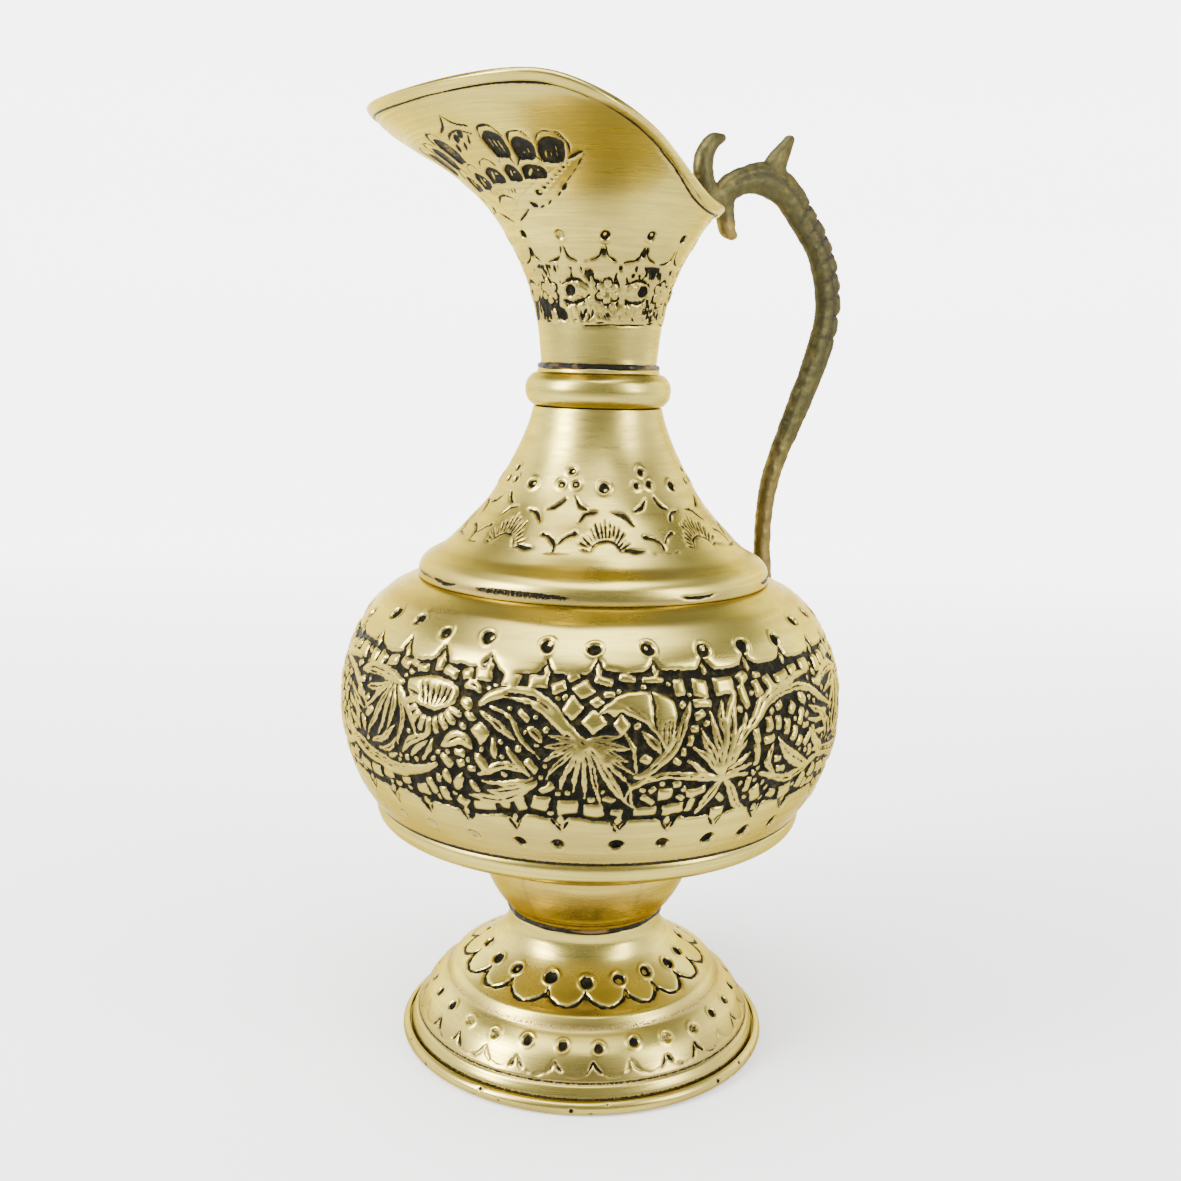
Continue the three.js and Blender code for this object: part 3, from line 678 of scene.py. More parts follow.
def belly():
    columns = 1320
    rows = spaced(smooth_curve(BELLY), 1.2, 0.4, (88.6, 150.0))
    relief = Relief(*surface(rows, columns), 11, 0.34)
    relief.plump, relief.swell = 1.25, 1.3
    relief.veined = True
    top_cusps, low_cusps = band_edges(relief)
    for copy in range(3):
        relief.shift = REPEAT * copy
        brick_rows(relief)
        drooping_palm(relief)
        fish_leaf(relief)
        relief.plump = 1.05
        hanging_palm(relief)
        relief.plump = 1.25
        smooth_leaf(relief)
        rising_palm(relief)
        relief.fill(101.0, 138.4, ((4.6, 2.0), (3.2, 2.0), (2.2, 1.7), (1.6, 1.2)), 1.5)
        band_borders(relief, top_cusps, low_cusps)
    relief.metal = np.minimum(relief.metal, np.clip((relief.z - 83.1) / 0.5, 0, 1))
    # painted shade: a brown band in the valley under the cone, with dark smears of tarnish along it
    smear = np.clip(ripple(len(rows), columns, 13, 7, 120) - 0.3, 0, 1.2)
    relief.stain_and_shade += (0.16 + 0.2 * smear) * relief.band(150.5, 2.2)
    relief.stain_and_shade += 0.3 * relief.band(83.0, 1.3)
    # darker below the embossed band, towards the bottom of the belly
    relief.stain_and_shade += 0.17 * np.clip((99 - relief.z) / 6, 0, 1)
    relief.high += 0.35 * relief.band(150.6, 1.4)
    return shell("belly", rows, columns, relief, (0.85, 0.45), sheet=1.9, step=5, seed=21,
                 dent=0.06)


# ---------------------------------------------------------------- cone, bead and solder

CONE_LOW = [(56.0, 155.1), (56.0, 156.6), (55.7, 158.2), (54.9, 159.9), (53.2, 161.6),
            (51.2, 162.7)]
CONE_HIGH = [(51.2, 162.7), (48.6, 164.2), (46.2, 166.2), (41.3, 171.4), (35, 178.2), (28.5, 188.6),
             (23.4, 198.9), (20.9, 206.0), (20.4, 208.3)]


def lotus(relief, mid, dark):
    """A half flower with rays, under a pair of small branches and a dot."""
    cut = relief.cut
    cut([(mid - 12, 176.2), (mid - 9, 178.4), (mid - 3, 179.2)], 0.42, 0.95, 1.2, 0.2)
    cut([(mid + 3, 179.2), (mid + 9, 178.6), (mid + 13.6, 175.8)], 0.55, 1, 1.2, 0.2)
    cut([(mid - 6, 168.8), (mid - 4, 171), (mid, 171.9), (mid + 4, 171), (mid + 6, 168.8)],
        0.34, 0.95, 2, 0.15)
    for ray in range(15):
        a = math.radians(12 + 11.1 * ray)
        near, far = 6.4, 10.6 + 2.2 * math.sin(a) ** 2 + 0.7 * math.sin(ray * 2.1)
        cut([(mid + near * math.cos(a), 168.0 + 0.62 * near * math.sin(a)),
             (mid + far * math.cos(a), 168.0 + 0.7 * far * math.sin(a))],
            0.33, 0.85 if ray % 3 else 1, 1, 0.2)
    smear = relief.stroke([(mid + 7, 169.6), (mid + 12, 168.9), (mid + 16, 168.8)], 0.85, 0.8)
    relief.sink(smear, dark, 0.1, 1.2)


def garland(relief, gap, bare):
    """The dots and small branches between two half flowers."""
    cut, dot = relief.cut, relief.dot
    for turn, height in ((gap + 1, 190.3), (gap - 3.6, 186.7), (gap + 5.2, 186.8)):
        dot(turn, height, 1.0, 1, 0.22, bare, 0.25)
    cut([(gap - 8.4, 179.4), (gap - 4, 180.2), (gap + 0.6, 182.6)], 0.5, 1, 1.2, 0.3)
    cut([(gap + 5.6, 183.4), (gap + 8.4, 181), (gap + 12.6, 179.8)], 0.55, 1, 1.2, 0.3)
    cut([(gap + 0.6, 168.3), (gap + 0.4, 170.4), (gap - 2, 171.9), (gap - 6.4, 172.8)],
        0.42, 1, 1.4, 0.2)
    cut([(gap + 2.2, 170.6), (gap + 5, 172.4), (gap + 8.6, 173.4)], 0.4, 1, 1.4, 0.2)
    dot(gap - 5.6, 172.6, 0.7, 1, 0.05)
    dot(gap + 8.0, 173.3, 0.75, 1, 0.05)
    cut([(gap - 4, 167.9), (gap + 3, 168.0), (gap + 7, 168.3)], 0.22, 0.8, 1.2, 0.1)


def cone():
    columns = 760
    rows = spaced(joined(CONE_LOW, CONE_HIGH), 1.0, 0.36, (155, 192.5))
    relief = Relief(*surface(rows, columns), 31, 0.12)
    for copy in range(8):
        mid = 4.6 + (45.6 * copy if copy < 5 else 44.2 * (copy - 8))
        relief.dot(mid, 186.0, 1.45, 1, 0.3, (0.55, 0, 0.5, 0.6)[copy % 4], 0.3)
        garland(relief, mid + 23, 0.35 if copy % 2 else 0)
        lotus(relief, mid, 0.9 if copy in (0, 7, 2) else 0.5)
    # darker along the groove where the flare meets the skirt
    relief.stain_and_shade += 0.3 * relief.band(163.6, 1.0)
    relief.stain_and_shade += 0.5 * np.clip(relief.ripple(5, 3, 14) - 0.5, 0, 1) * relief.band(157.6, 1.5)
    # painted shade: the skirt's low wall under the rounded lip, darkened as if in shadow
    relief.stain_and_shade += 0.26 * np.clip((158.3 - relief.z) / 0.8, 0, 1)
    for turn in (-52, 34, 74, 150, 215):
        relief.cut([(turn - 7, 157.1), (turn, 156.7), (turn + 6, 157.3)], 0.55, 0.85, 1.6, 0.1)
    return shell("neck_cone_skin", rows, columns, relief, (0.35, 0.1), seed=41)


def bead():
    outline = joined([(19.1, 208.6), (20.6, 209.0)],
                     [(20.6, 209.0), (22.1, 210.5), (23.0, 213.6), (22.3, 216.9), (20.7, 218.7)],
                     [(20.7, 218.7), (19.4, 219.1)], [(19.4, 219.1), (19.0, 220.4)])
    return shell("neck_bead_ring", spaced(outline, 0.35), 360, sheet=0.7, step=2, seed=51)


def solder(name, radius, low, high, seed):
    """A line of solder: an uneven ring that wells out of a joint."""
    columns, rows = 420, 14
    loop = azimuths(rows)
    lumps = ripple(rows, columns, seed, 30, 14)[:1]
    fine = ripple(rows, columns, seed + 1, 3, 4)
    half, reach = (high - low) / 2, 0.85 + 0.1575 * lumps
    r = radius - 0.5 + reach * np.cos(loop)[:, None] + 0.06 * fine
    z = (low + high) / 2 + (half + 0.12 * lumps) * np.sin(loop)[:, None] + 0.05 * fine
    patina = 0.8 + 0.25 * ripple(rows, columns, seed + 2, 8, 12)
    return ring_mesh(name, lift(r, z, azimuths(columns)), patina)


# ---------------------------------------------------------------- mouth

TRUMPET = np.array([(221.3, 18.1), (233.3, 19.5), (243.6, 21.8), (253.9, 26.1), (264.2, 32.3),
                    (272.8, 39.9), (279.7, 49), (284.9, 58.2), (290, 66.3), (296.5, 72.2)])
RIM_LOW, RIM_RISE, LIP_DROOP = 269.8, 27.0, 2.5
FAN_TURN = -54.0  # turn of the fan's foot
HEM = 2.5  # height of the strip folded over the rim


def trumpet_radius(z):
    """Radius of the mouth at a height."""
    z0, r0 = TRUMPET[:, 0], TRUMPET[:, 1]
    slope = np.gradient(r0, z0)
    i = np.clip(np.searchsorted(z0, z) - 1, 0, len(z0) - 2)
    h = z0[i + 1] - z0[i]
    return hermite((z - z0[i]) / h, h, r0[i], r0[i + 1], slope[i], slope[i + 1])


def rim_height(azimuth):
    """Height of the oblique rim; the lip is at azimuth pi."""
    c = np.cos(azimuth - math.pi)
    t = np.maximum((c + 0.64) / 1.35, 0)
    level = t / (1 + t**30) ** (1 / 30)
    return RIM_LOW + RIM_RISE * level**1.95 - LIP_DROOP * np.maximum(c, 0) ** 6


def trumpet_normals(z):
    """Unit normals of the mouth's outer face at a height."""
    d = (trumpet_radius(z + 0.05) - trumpet_radius(z - 0.05)) / 0.1
    size = np.sqrt(1 + d * d)
    return 1 / size, -d / size


def flower_petal(relief, turn, a):
    """One round petal of a small flower, with a dark line along its outer side."""
    place = turn + 6.6 * math.cos(a), 243.1 + 2.6 * math.sin(a)
    relief.dot(*place, 1.25, 0, 0.0)
    area, x, y = relief.window(place, 5)
    gap = np.hypot(x, y)
    line = relief.cover(np.abs(gap - 1.35) - 0.28, area, 0.4)
    line = line * (x * math.cos(a) + y * math.sin(a) > -0.4)
    inner = relief.cover(gap - 1.2, area, 0.5)
    relief.metal[area] = np.minimum(np.maximum(relief.metal[area], inner), 1 - 0.95 * line)
    relief.high[area] += 0.18 * inner - 0.1 * line


def eye_band(relief):
    """The stippled band of almond shapes and small flowers round the neck."""
    cut = relief.cut
    inside = np.clip(np.minimum(relief.z - 234.2, 251.2 - relief.z) / 1.2, 0, 1)
    stipple = relief.ripple(77, 1.3, 0.8)
    blots = relief.ripple(78, 5, 5)
    relief.high -= 0.07 * inside * np.clip(stipple, -1, 1)
    relief.metal -= inside * np.clip((stipple - 0.85 + 0.6 * np.clip(blots, -1, 1.6)) * 1.4, 0, 1)
    relief.metal -= inside * np.clip((blots - 1.5) * 2.0, 0, 1)
    relief.metal = np.clip(relief.metal, 0, 1)
    relief.stain_and_shade += 0.2 * inside
    for copy in range(7):
        mid = -20.5 + (51.5 * copy if copy < 4 else 51.4 * (copy - 7))
        relief.leaf([(mid - 17, 243.2), (mid, 243.2), (mid + 16, 243.2)], 2.9, 1.2)
        cut([(mid - 11, 245.2), (mid - 3, 246.4), (mid + 4, 246.2), (mid + 10.5, 244.8)],
            0.5, 1, 1.4, 0.2)
        cut([(mid - 11, 240.9), (mid - 4, 240.0), (mid + 4, 240.1), (mid + 11.5, 242.0)],
            0.5, 1, 1.4, 0.2)
        relief.stand(relief.stroke([(mid - 9, 243.2), (mid + 9, 243.2)], 1.7, 1.2), 0.2)
        relief.dot(mid + (4.5 if copy % 2 else -4.0), 243.4, 1.75, 1, 0.15, 0, 0.25)
        flower = mid + 25.6
        for petal in range(6):
            flower_petal(relief, flower, math.radians(60 * petal + 30))
        relief.dot(flower, 242.9, 0.9, 0.35, 0.2)
        for step in range(5):
            t = flower - 7 + 2.1 * step
            rise = 0.2 * step
            cut([(t, 236.4 + rise), (t + 2.6, 235.2 + rise)], 0.3, 0.5 if copy else 0.9)
        cut([(flower - 9, 234.2), (flower - 2, 234.4)], 0.45, 0.9)


def neck_scallops(relief):
    """Scallops and dots over the neck band, and the worn line under it."""
    cut = relief.cut
    for step in range(13):
        left, right = -54 + 27.7 * step, -26.3 + 27.7 * step
        middle = (left + right) / 2
        dark = (1, 0.8, 1, 0.9)[step % 4]
        cut([(left + 0.8, 255.6), (left + 3.5, 252.8), (middle - 4, 251.5)], 0.34, dark, 2, 0.25)
        cut([(middle + 1, 251.4), (right - 3.5, 252.8), (right - 0.8, 255.6)], 0.34, dark, 2, 0.25)
        if step % 3 != 1:
            cut([(left - 0.2, 255.2), (left + 0.2, 253.0)], 0.8, 0.95, 1, 0.2)
        relief.dot(left + 0.6, 259.2 - 0.3 * (step % 3), 1.35, (1, 0.45, 0.8, 1)[step % 4], 0.25,
                   (0, 0, 0.5, 0.6)[step % 4], 0.3)
    line = np.abs(relief.z + 2.2 * relief.warp_y - 233.6) - 0.28
    gaps = ripple(*relief.r.shape, 79, 40, 6 / relief.cell[1])
    k = np.clip(0.5 - line / 0.5, 0, 1) * np.clip(0.9 + gaps, 0, 1)
    relief.metal = np.minimum(relief.metal, 1 - k)


def lip_fan(relief):
    """The open fan under the lip, with a leaf along each flank."""
    cut = relief.cut

    def axis(z):
        return FAN_TURN + 8.0 * (z - 263.5) / 24.0

    def at(side, points):
        """Places given as turns from the fan's leaning middle line."""
        return [(axis(z) + side * t, z) for t, z in points]

    cut(at(1, [(-7.6, 284.4), (-2.6, 286.0), (0, 288.2)]), 0.4, 1, 1.6, 0.25)
    cut(at(1, [(0, 288.2), (2.6, 286.2), (6.8, 285.4)]), 0.42, 1, 1.6, 0.25)
    cut(at(1, [(-6.4, 283.0), (-2, 284.4), (2, 284.8), (6.6, 283.8)]), 0.45, 1, 1.2)
    for t, z, size in ((-2, 283.2, 1.1), (1.4, 284.0, 1.0), (-5.5, 281.4, 0.8), (3.2, 282.8, 0.6),
                       (-1.0, 281.6, 0.7)):
        relief.cut(at(1, [(t - 1.2, z - 0.8), (t + 1.4, z + 0.9)]), size, 0.95, 0.8, 0.25)
    for side in (1, -1):
        for t, low, high, wide in ((12.3, 278.2, 284.0, 3.9), (21.4, 277.6, 282.6, 4.0),
                                   (31.2, 276.8, 282.4, 4.8)):
            middle = (low + high) / 2
            cell = [(t - wide * 0.8, low), (t - wide, middle), (t - wide * 0.8, high - 1),
                    (t, high), (t + wide * 0.8, high - 1), (t + wide, middle),
                    (t + wide * 0.7, low)]
            relief.sink(relief.patch(at(side, cell)), 0.95, 0.35)
            for k in (-0.5, -0.1, 0.35):
                fleck = [(t + wide * k, low + 0.9), (t + wide * k * 0.9, high - 1.8)]
                relief.leaf(at(side, fleck), 0.17)
            cut(at(side, [(t - wide, high - 1.2), (t - wide * 0.5, high + 1.0),
                          (t + wide * 0.5, high + 1.0), (t + wide * 1.1, high - 1.2)]),
                0.3, 1, 1.6, 0.2)
        cut(at(side, [(33, 283.2), (36.6, 281.2), (37.6, 278.8)]), 0.3, 1, 1.6, 0.2)
    for t, low, high, wide in ((-20.4, 271.6, 275.6, 4.0), (-9.4, 271.8, 275.8, 3.8),
                               (1.6, 272.6, 276.4, 4.4), (12.2, 273.0, 276.8, 3.2),
                               (22.2, 273.2, 276.6, 5.2)):
        cell = [(t - wide, low), (t - wide * 0.9, high - 0.9), (t, high),
                (t + wide * 0.9, high - 0.9), (t + wide, low), (t, low - 0.2)]
        relief.sink(relief.patch(at(1, cell)), 0.97, 0.3)
        relief.leaf(at(1, [(t - wide * 0.5, low + 0.6), (t - wide * 0.1, high - 1.2)]), 0.4)
        relief.dot(axis(274) + t + wide * 0.4, (low + high) / 2, 0.5, 0.0, 0.15, 0.5)
        cut(at(1, [(t - wide * 1.1, high - 0.2), (t - wide * 0.5, high + 1.7),
                   (t + wide * 0.4, high + 1.9), (t + wide * 1.1, high)]), 0.32, 1, 1.6, 0.2)
    for side in (1, -1):
        for points, width, dark, depth in (
            ([(0.5, 264.6), (10, 268.4), (24, 272.4), (38, 276.4), (46, 279.0)], 0.2, 0.6, 0),
            ([(3, 262.8), (8.5, 264.2), (14, 266.0)], 0.5, 1, 0.2),
            ([(41, 277.4), (44.4, 278.4), (47, 279.2)], 0.5, 1, 0.2),
            ([(22, 265.9), (25.2, 266.4)], 0.42, 1, 0),
            ([(27, 266.4), (29.6, 267.6)], 0.45, 1, 0),
            ([(33, 268.4), (35.4, 270.0)], 0.48, 1, 0),
            ([(36.2, 270.2), (38.4, 272.0)], 0.55, 1, 0),
            ([(39.2, 272.6), (43.6, 275.4), (47.2, 278.6)], 0.24, 0.9, 0),
        ):
            cut([(FAN_TURN + side * t, z) for t, z in points], width, dark, 1.2, depth)
        cut([(FAN_TURN + side * t, z) for t, z in ((16.6, 267.6), (18.6, 266.8), (20.4, 266.2))],
            0.8, 1, 1.0, 0.2)
        for t, z, size in ((24.6, 269.8, 1.05), (28.2, 271.0, 0.6), (30.8, 272.0, 0.42),
                           (33, 273.0, 0.36), (35.2, 274.0, 0.34), (37.2, 274.9, 0.32),
                           (39.2, 275.8, 0.3), (41.2, 276.7, 0.28)):
            relief.dot(FAN_TURN + side * t, z, size, 1, 0.1, 0.45 if size > 1 else 0, 0.2)
    cut([(-60, 268.0), (-56, 269.4), (-51, 269.6), (-45, 268.2)], 0.34, 0.85, 1.6)
    for ray in range(10):
        t = -59 + 1.75 * ray
        cut([(t, 270.2), (t + (ray - 4.5) * 0.25, 271.6)], 0.26, 0.7, 1)


def mouth():
    columns, rows = 900, 226
    azimuth = azimuths(columns)
    foot_z, top = 221.6, rim_height(azimuth) - 0.5
    share = np.concatenate([np.linspace(0, 0.15, 22, endpoint=False),
                            np.linspace(0.15, 0.90, 184, endpoint=False),
                            np.linspace(0.90, 1, rows - 206)])[:, None]
    z = foot_z + (top[None] - foot_z) * share
    r = trumpet_radius(z)
    nr, nz = trumpet_normals(z)
    relief = Relief(r, z, 61, 0.13)
    eye_band(relief)
    neck_scallops(relief)
    lip_fan(relief)
    below = (top[None] - z) / np.maximum(nr, 0.25)
    relief.stain_and_shade += 0.3 * relief.band(foot_z, 0.9) + 0.26 * np.exp(-((below / 5.5) ** 2))
    seam = np.clip(0.5 - (np.abs(below - HEM - 0.2 + relief.warp_y) - 0.34) / 0.4, 0, 1)
    relief.metal = np.minimum(relief.metal, 1 - 0.95 * seam)
    height, patina = relief.finish(0.38, 0.12)
    height = (height + 0.08 * ripple(rows, columns, 63, 40, 60)) * edge_fade(rows, 5)
    face = lift(r + nr * height, z + nz * height, azimuth)
    pick = np.unique(np.append(np.arange(0, rows, 5), rows - 1))[::-1]
    back = lift(r[pick] - nr[pick] * SHEET, z[pick] - nz[pick] * SHEET, azimuth)
    inside = 0.28 + 0.1 * ripple(len(pick), columns, 64, 6, 20)
    return ring_mesh("mouth", np.concatenate([face, back]), np.concatenate([patina, inside]))


def rim_band():
    """The hem: a strip folded over the cut edge of the mouth."""
    columns = 900
    azimuth = azimuths(columns)
    z = rim_height(azimuth)
    r = trumpet_radius(z)
    nr, nz = trumpet_normals(z)
    hem = HEM + 0.1 * ripple(2, columns, 71, 2, 10)[0]
    wobble = 0.05 * ripple(2, columns, 72, 2, 16)[0]
    outline = [(-1.0, 0.12), (-1.0, 0.6), (-0.93, 0.82), (-0.5, 0.86), (-0.1, 0.8), (0.28, 0.45),
               (0.42, -0.1), (0.42, -0.6), (0.3, -1.1), (-0.1, -1.4), (-0.6, -1.45), (-1.0, -1.35),
               (-1.0, -1.02), (-0.5, -1.0), (-0.14, -0.98), (-0.12, -0.5), (-0.14, 0.08),
               (-0.5, 0.1)]
    grid = []
    for a, b in zip(outline, outline[1:] + outline[:1]):
        for k in (0, 0.5):
            along, out = a[0] + (b[0] - a[0]) * k, a[1] + (b[1] - a[1]) * k
            run = hem * along if along < 0 else np.full(columns, along)
            away = out + wobble * (out > 0)
            grid.append(lift(r - nz * run + nr * away, z + nr * run + nz * away, azimuth))
    return ring_mesh("mouth_hem", np.array(grid), np.full((len(grid), columns), 0.08))


# ---------------------------------------------------------------- foot, stem and bowl


def upper_tier(relief):
    """Scallops round the foot's upper tier, a dark cusp where two meet, and a dot over each."""
    cusps = [-58, -38.5, -17.5, 1.5, 22, 39, 57, 75.5]
    cusps += [75.5 + 20.65 * k for k in range(1, 11)]
    cusps = sorted((c + 180) % 360 - 180 for c in cusps)
    for i, left in enumerate(cusps):
        span = (cusps[(i + 1) % len(cusps)] - left) % 360
        right, middle = left + span, left + span / 2
        dark = (1, 0.9, 0.75, 1, 1)[i % 5]
        relief.cut([(left + 0.2, 27.9), (left + span * 0.14, 26.3), (left + span * 0.34, 25.3),
                    (middle + 1, 25.1)], 0.6, dark, 2, 0.25)
        relief.cut([(middle + span * 0.04, 25.1), (right - span * 0.3, 25.4),
                    (right - span * 0.1, 26.5), (right, 27.9)], 0.62, dark, 2, 0.25)
        relief.cut([(left, 28.3), (left + 0.3, 26.4)], 0.85, 1, 1, 0.2)
        relief.dot(left - 1.5 + (i % 3), 30.3 + 0.25 * math.sin(2.1 * i), 1.8 + 0.1 * (i % 3),
                   1, 0.28, (0, 0.4, 0, 0, 0.95)[i % 5], 0.35)


def lower_tier(relief):
    """Dots and bird-track marks round the foot's lower tier."""
    for i in range(28):
        dot, cusp = -58 + 12.86 * i, -60 + 12.86 * i
        relief.dot(dot, 17.4 - 0.3 * (i % 3), 1.5, (0.9, 0.5, 0.55, 0.8, 0.7, 0.9)[i % 6],
                   0.22, 0, 0.3)
        dark = (0.85, 0.95, 0.35, 0.7, 0.6, 0.9, 0.5)[i % 7]
        relief.cut([(cusp, 13.8), (cusp + 1, 12.2), (cusp + 2.8, 10.6)], 0.55, dark, 1.2, 0.3)
        relief.cut([(cusp - 0.4, 13.6), (cusp - 1.3, 11.6), (cusp - 2.6, 10.4)],
                   0.45, dark * 0.9, 1.2, 0.25)
        relief.cut([(cusp + 3, 10.5), (cusp + 6.4, 9.7), (cusp + 9.9, 10.4)],
                   0.24, 0.6 * dark + 0.1, 2, 0.15)


def foot():
    columns = 900
    outline = joined(
        [(57.7, 2.6), (57.5, 4.6), (56.3, 7.4)], [(56.3, 7.4), (55.6, 8.1)],
        [(55.6, 8.1), (54.9, 9.4), (53.4, 12), (51.8, 14.6), (49.6, 17), (47.4, 18.9), (45.9, 20.1),
         (45.0, 21.2), (44.3, 22.3), (43.3, 23.3), (41.9, 24.1)],
        [(41.9, 24.1), (40.2, 25.2), (34.5, 28.8), (30.2, 32.2), (27.2, 35.6), (25.5, 39.2),
         (25.3, 42.4)])
    rows = spaced(outline, 0.9, 0.38, (5, 33))
    relief = Relief(*surface(rows, columns), 81, 0.12)
    upper_tier(relief)
    lower_tier(relief)
    # The bands at 20.4 and 21.2 are painted shade in the valley between the two tiers; the band at
    # 10.5 darkens the lower tier's lower half; the bands at 8.3 and 4.6 are the dark lines at the
    # flange and at the roll.
    relief.stain_and_shade += 0.5 * relief.band(8.3, 0.45) + 0.28 * relief.band(20.4, 1.6)
    relief.stain_and_shade += 0.22 * relief.band(21.2, 1.2) + 0.3 * relief.band(10.5, 2.6)
    relief.stain_and_shade += 0.75 * relief.band(4.6, 0.7)
    relief.high += 0.3 * relief.band(23.6, 0.8) - 0.25 * relief.band(8.3, 0.4)
    return shell("foot", rows, columns, relief, (0.32, 0.12), sheet=0.8, seed=91)


def base():
    """The plate that closes the foot, rolled up over its flange into a tube with small nicks."""
    columns = 720
    outline = joined([(0.4, 1.0), (24, 1.0), (50, 1.0), (54, 0.9)],
                     [(54, 0.9), (56.6, 0.15), (58.2, 0.02), (59.8, 0.7), (60.5, 2.2), (60.0, 3.7),
                      (58.7, 4.45), (58.1, 4.3)],
                     [(58.1, 4.3), (58.3, 3.8), (59.1, 3.2), (59.4, 2.2), (58.8, 1.4), (57.6, 1.2)],
                     [(57.6, 1.2), (54, 1.9), (24, 1.9), (0.4, 1.9)])
    rows = spaced(outline, 0.45)
    r, z = surface(rows, columns)
    n = side_normals(rows)
    rng = np.random.default_rng(101)
    height = 0.05 * ripple(len(rows), columns, 102, 30, 40)
    s = np.arange(len(rows))[:, None]
    out = np.argmax(rows[:, 0])
    patina = 0.12 + 0.1 * ripple(len(rows), columns, 103, 6, 20)
    for turn in rng.uniform(0, columns, 34):
        away = np.abs((np.arange(columns)[None] - turn + columns / 2) % columns - columns / 2)
        place = out + rng.uniform(-5, 4)
        size = rng.uniform(0.7, 1.6)
        spot = np.exp(-((away / (1.1 * size)) ** 2) - ((s - place) / (1.6 * size)) ** 2)
        height = height - 0.3 * spot
        patina = np.maximum(patina, 0.9 * spot)
    height = np.minimum(height * (r > 54) * (z < 4.2), 0.0)
    grid = lift(r + n[:, :1] * height, z + n[:, 1:] * height, azimuths(columns))
    grid[..., 2] = np.maximum(grid[..., 2], 0.0)
    return disc_mesh("base_rolled", grid, patina)


def stem():
    columns = 420
    outline = joined([(24.9, 43.8), (25.7, 44.2), (26.2, 45.2)],
                     [(26.2, 45.2), (28.4, 47.6), (31.2, 52), (33.6, 57), (35.2, 61), (36.0, 64)],
                     [(36.0, 64), (36.1, 65.1)])
    rows = spaced(outline, 0.4)
    relief = Relief(*surface(rows, columns), 111, 0.05)
    relief.stain_and_shade += 0.22 * np.clip(relief.ripple(112, 30, 1.1) - 0.6, 0, 1.4)
    # painted shadow: the band at 65.0 darkens the stem's top as if the bowl shaded it; the band at
    # 44.0 darkens the solder joint
    relief.stain_and_shade += 0.6 * relief.band(44.0, 0.5) + 0.5 * relief.band(65.0, 2.2)
    for height in (45.6, 47.0):
        relief.high -= 0.14 * relief.band(height, 0.28)
        relief.stain_and_shade += 0.25 * relief.band(height, 0.3)
    return shell("stem", rows, columns, relief, (0.2, 0.05), step=3, seed=113, dent=0.06)


def bowl():
    columns = 720
    outline = joined([(0.6, 65.6), (20, 65.6), (38, 65.6)],
                     [(38, 65.6), (44, 66.8), (50, 69.2), (56, 72), (61, 74.2), (64.2, 75.5),
                      (66.4, 76.5), (67.9, 77.7), (68.8, 79.3), (69.0, 81.2), (68.6, 82.5)])
    rows = spaced(outline, 0.8)
    relief = Relief(*surface(rows, columns), 121, 0.05)
    # darker on the bowl's underside round the top of the stem
    relief.stain_and_shade += 0.3 * relief.band(66.0, 1.0) * (relief.r > 30)
    relief.stain_and_shade += 0.15 * relief.band(81.6, 0.5)
    return shell("bowl", rows, columns, relief, (0.2, 0.05), step=3, seed=123)


# ---------------------------------------------------------------- handle


def bar(stations, sides=20, spacing=0.8):
    """Rings of points round a bar through (x, z, width, thickness) stations, its ends rounded."""
    line = smooth_curve(stations, 12)
    s = lengths(line[:, :2])
    at = np.linspace(0, s[-1], max(int(s[-1] / spacing), 6))
    line = np.stack([np.interp(at, s, line[:, k]) for k in range(4)], 1)
    d = directions(line[:, :2])
    rings = [(p[:2], t, p[2], p[3]) for p, t in zip(line, d)]
    caps = []
    for p, t, way, angles in ((line[0], d[0], -1, np.linspace(0.25, 1.35, 4)),
                              (line[-1], d[-1], 1, np.linspace(1.35, 0.25, 4))):
        caps.append([(p[:2] + t * (way * math.cos(k) * p[2] * 0.3), t, p[2] * math.sin(k),
                      p[3] * math.sin(k)) for k in angles])
    c, q = np.cos(azimuths(sides)), np.sin(azimuths(sides))
    c, q = np.sign(c) * np.abs(c) ** 0.85 / 2, np.sign(q) * np.abs(q) ** 0.85 / 2
    grid = [np.stack([p[0] - t[1] * c * wide, q * thick, p[1] + t[0] * c * wide], 1)
            for p, t, wide, thick in caps[0] + rings + caps[1]]
    return np.array(grid)


# stations of each bar: x, z, width and thickness
ARM = [(42, 273.5, 8, 6), (49.5, 279.8, 8.6, 6.2), (56, 282.5, 9.2, 6.3), (63.5, 283.4, 11.2, 6.4),
       (73, 279.9, 11.6, 6.3), (80.8, 272.2, 10.8, 6.2), (87.9, 263.9, 10.4, 6.1),
       (92.8, 253.4, 10.4, 6), (94.7, 242.7, 10.1, 6), (92.4, 230.5, 10.1, 6),
       (87.7, 218.6, 9.4, 5.9), (80.3, 202.6, 8.3, 5.7), (75.8, 193.2, 7.0, 5.6),
       (71.6, 181, 6.6, 5.4), (70.2, 172, 6.2, 5.3), (70.1, 157, 6.2, 5.2), (70.8, 147, 6.6, 5.8),
       (70.2, 143, 6, 5.6)]
HORN_UP = [(43, 275, 7, 5), (38.6, 281, 7.0, 5.6), (38.2, 288, 6.6, 5.4), (41.5, 293.2, 5.2, 5.0),
           (45.8, 294.6, 2.6, 3)]
HORN_DOWN = [(48, 277, 6, 5), (47.6, 271, 6.2, 5.6), (48.8, 266.5, 6.0, 5.2), (51.8, 263.9, 2.8, 3)]
SPIKE = [(66.5, 284.5, 11, 5.8), (68.6, 289.3, 8.2, 5.2), (71.2, 293.4, 5.6, 4.6),
         (73.3, 296.6, 3.8, 3.8), (74.0, 297.5, 3.2, 3.2)]
NOTCHES = ((44.5, 0.7), (50.5, 0.8), (56.5, 0.8), (62.5, 0.85), (69.0, 0.95), (75.5, 0.95),
           (82.5, 0.85), (89.5, 0.6))  # place along the arm and depth


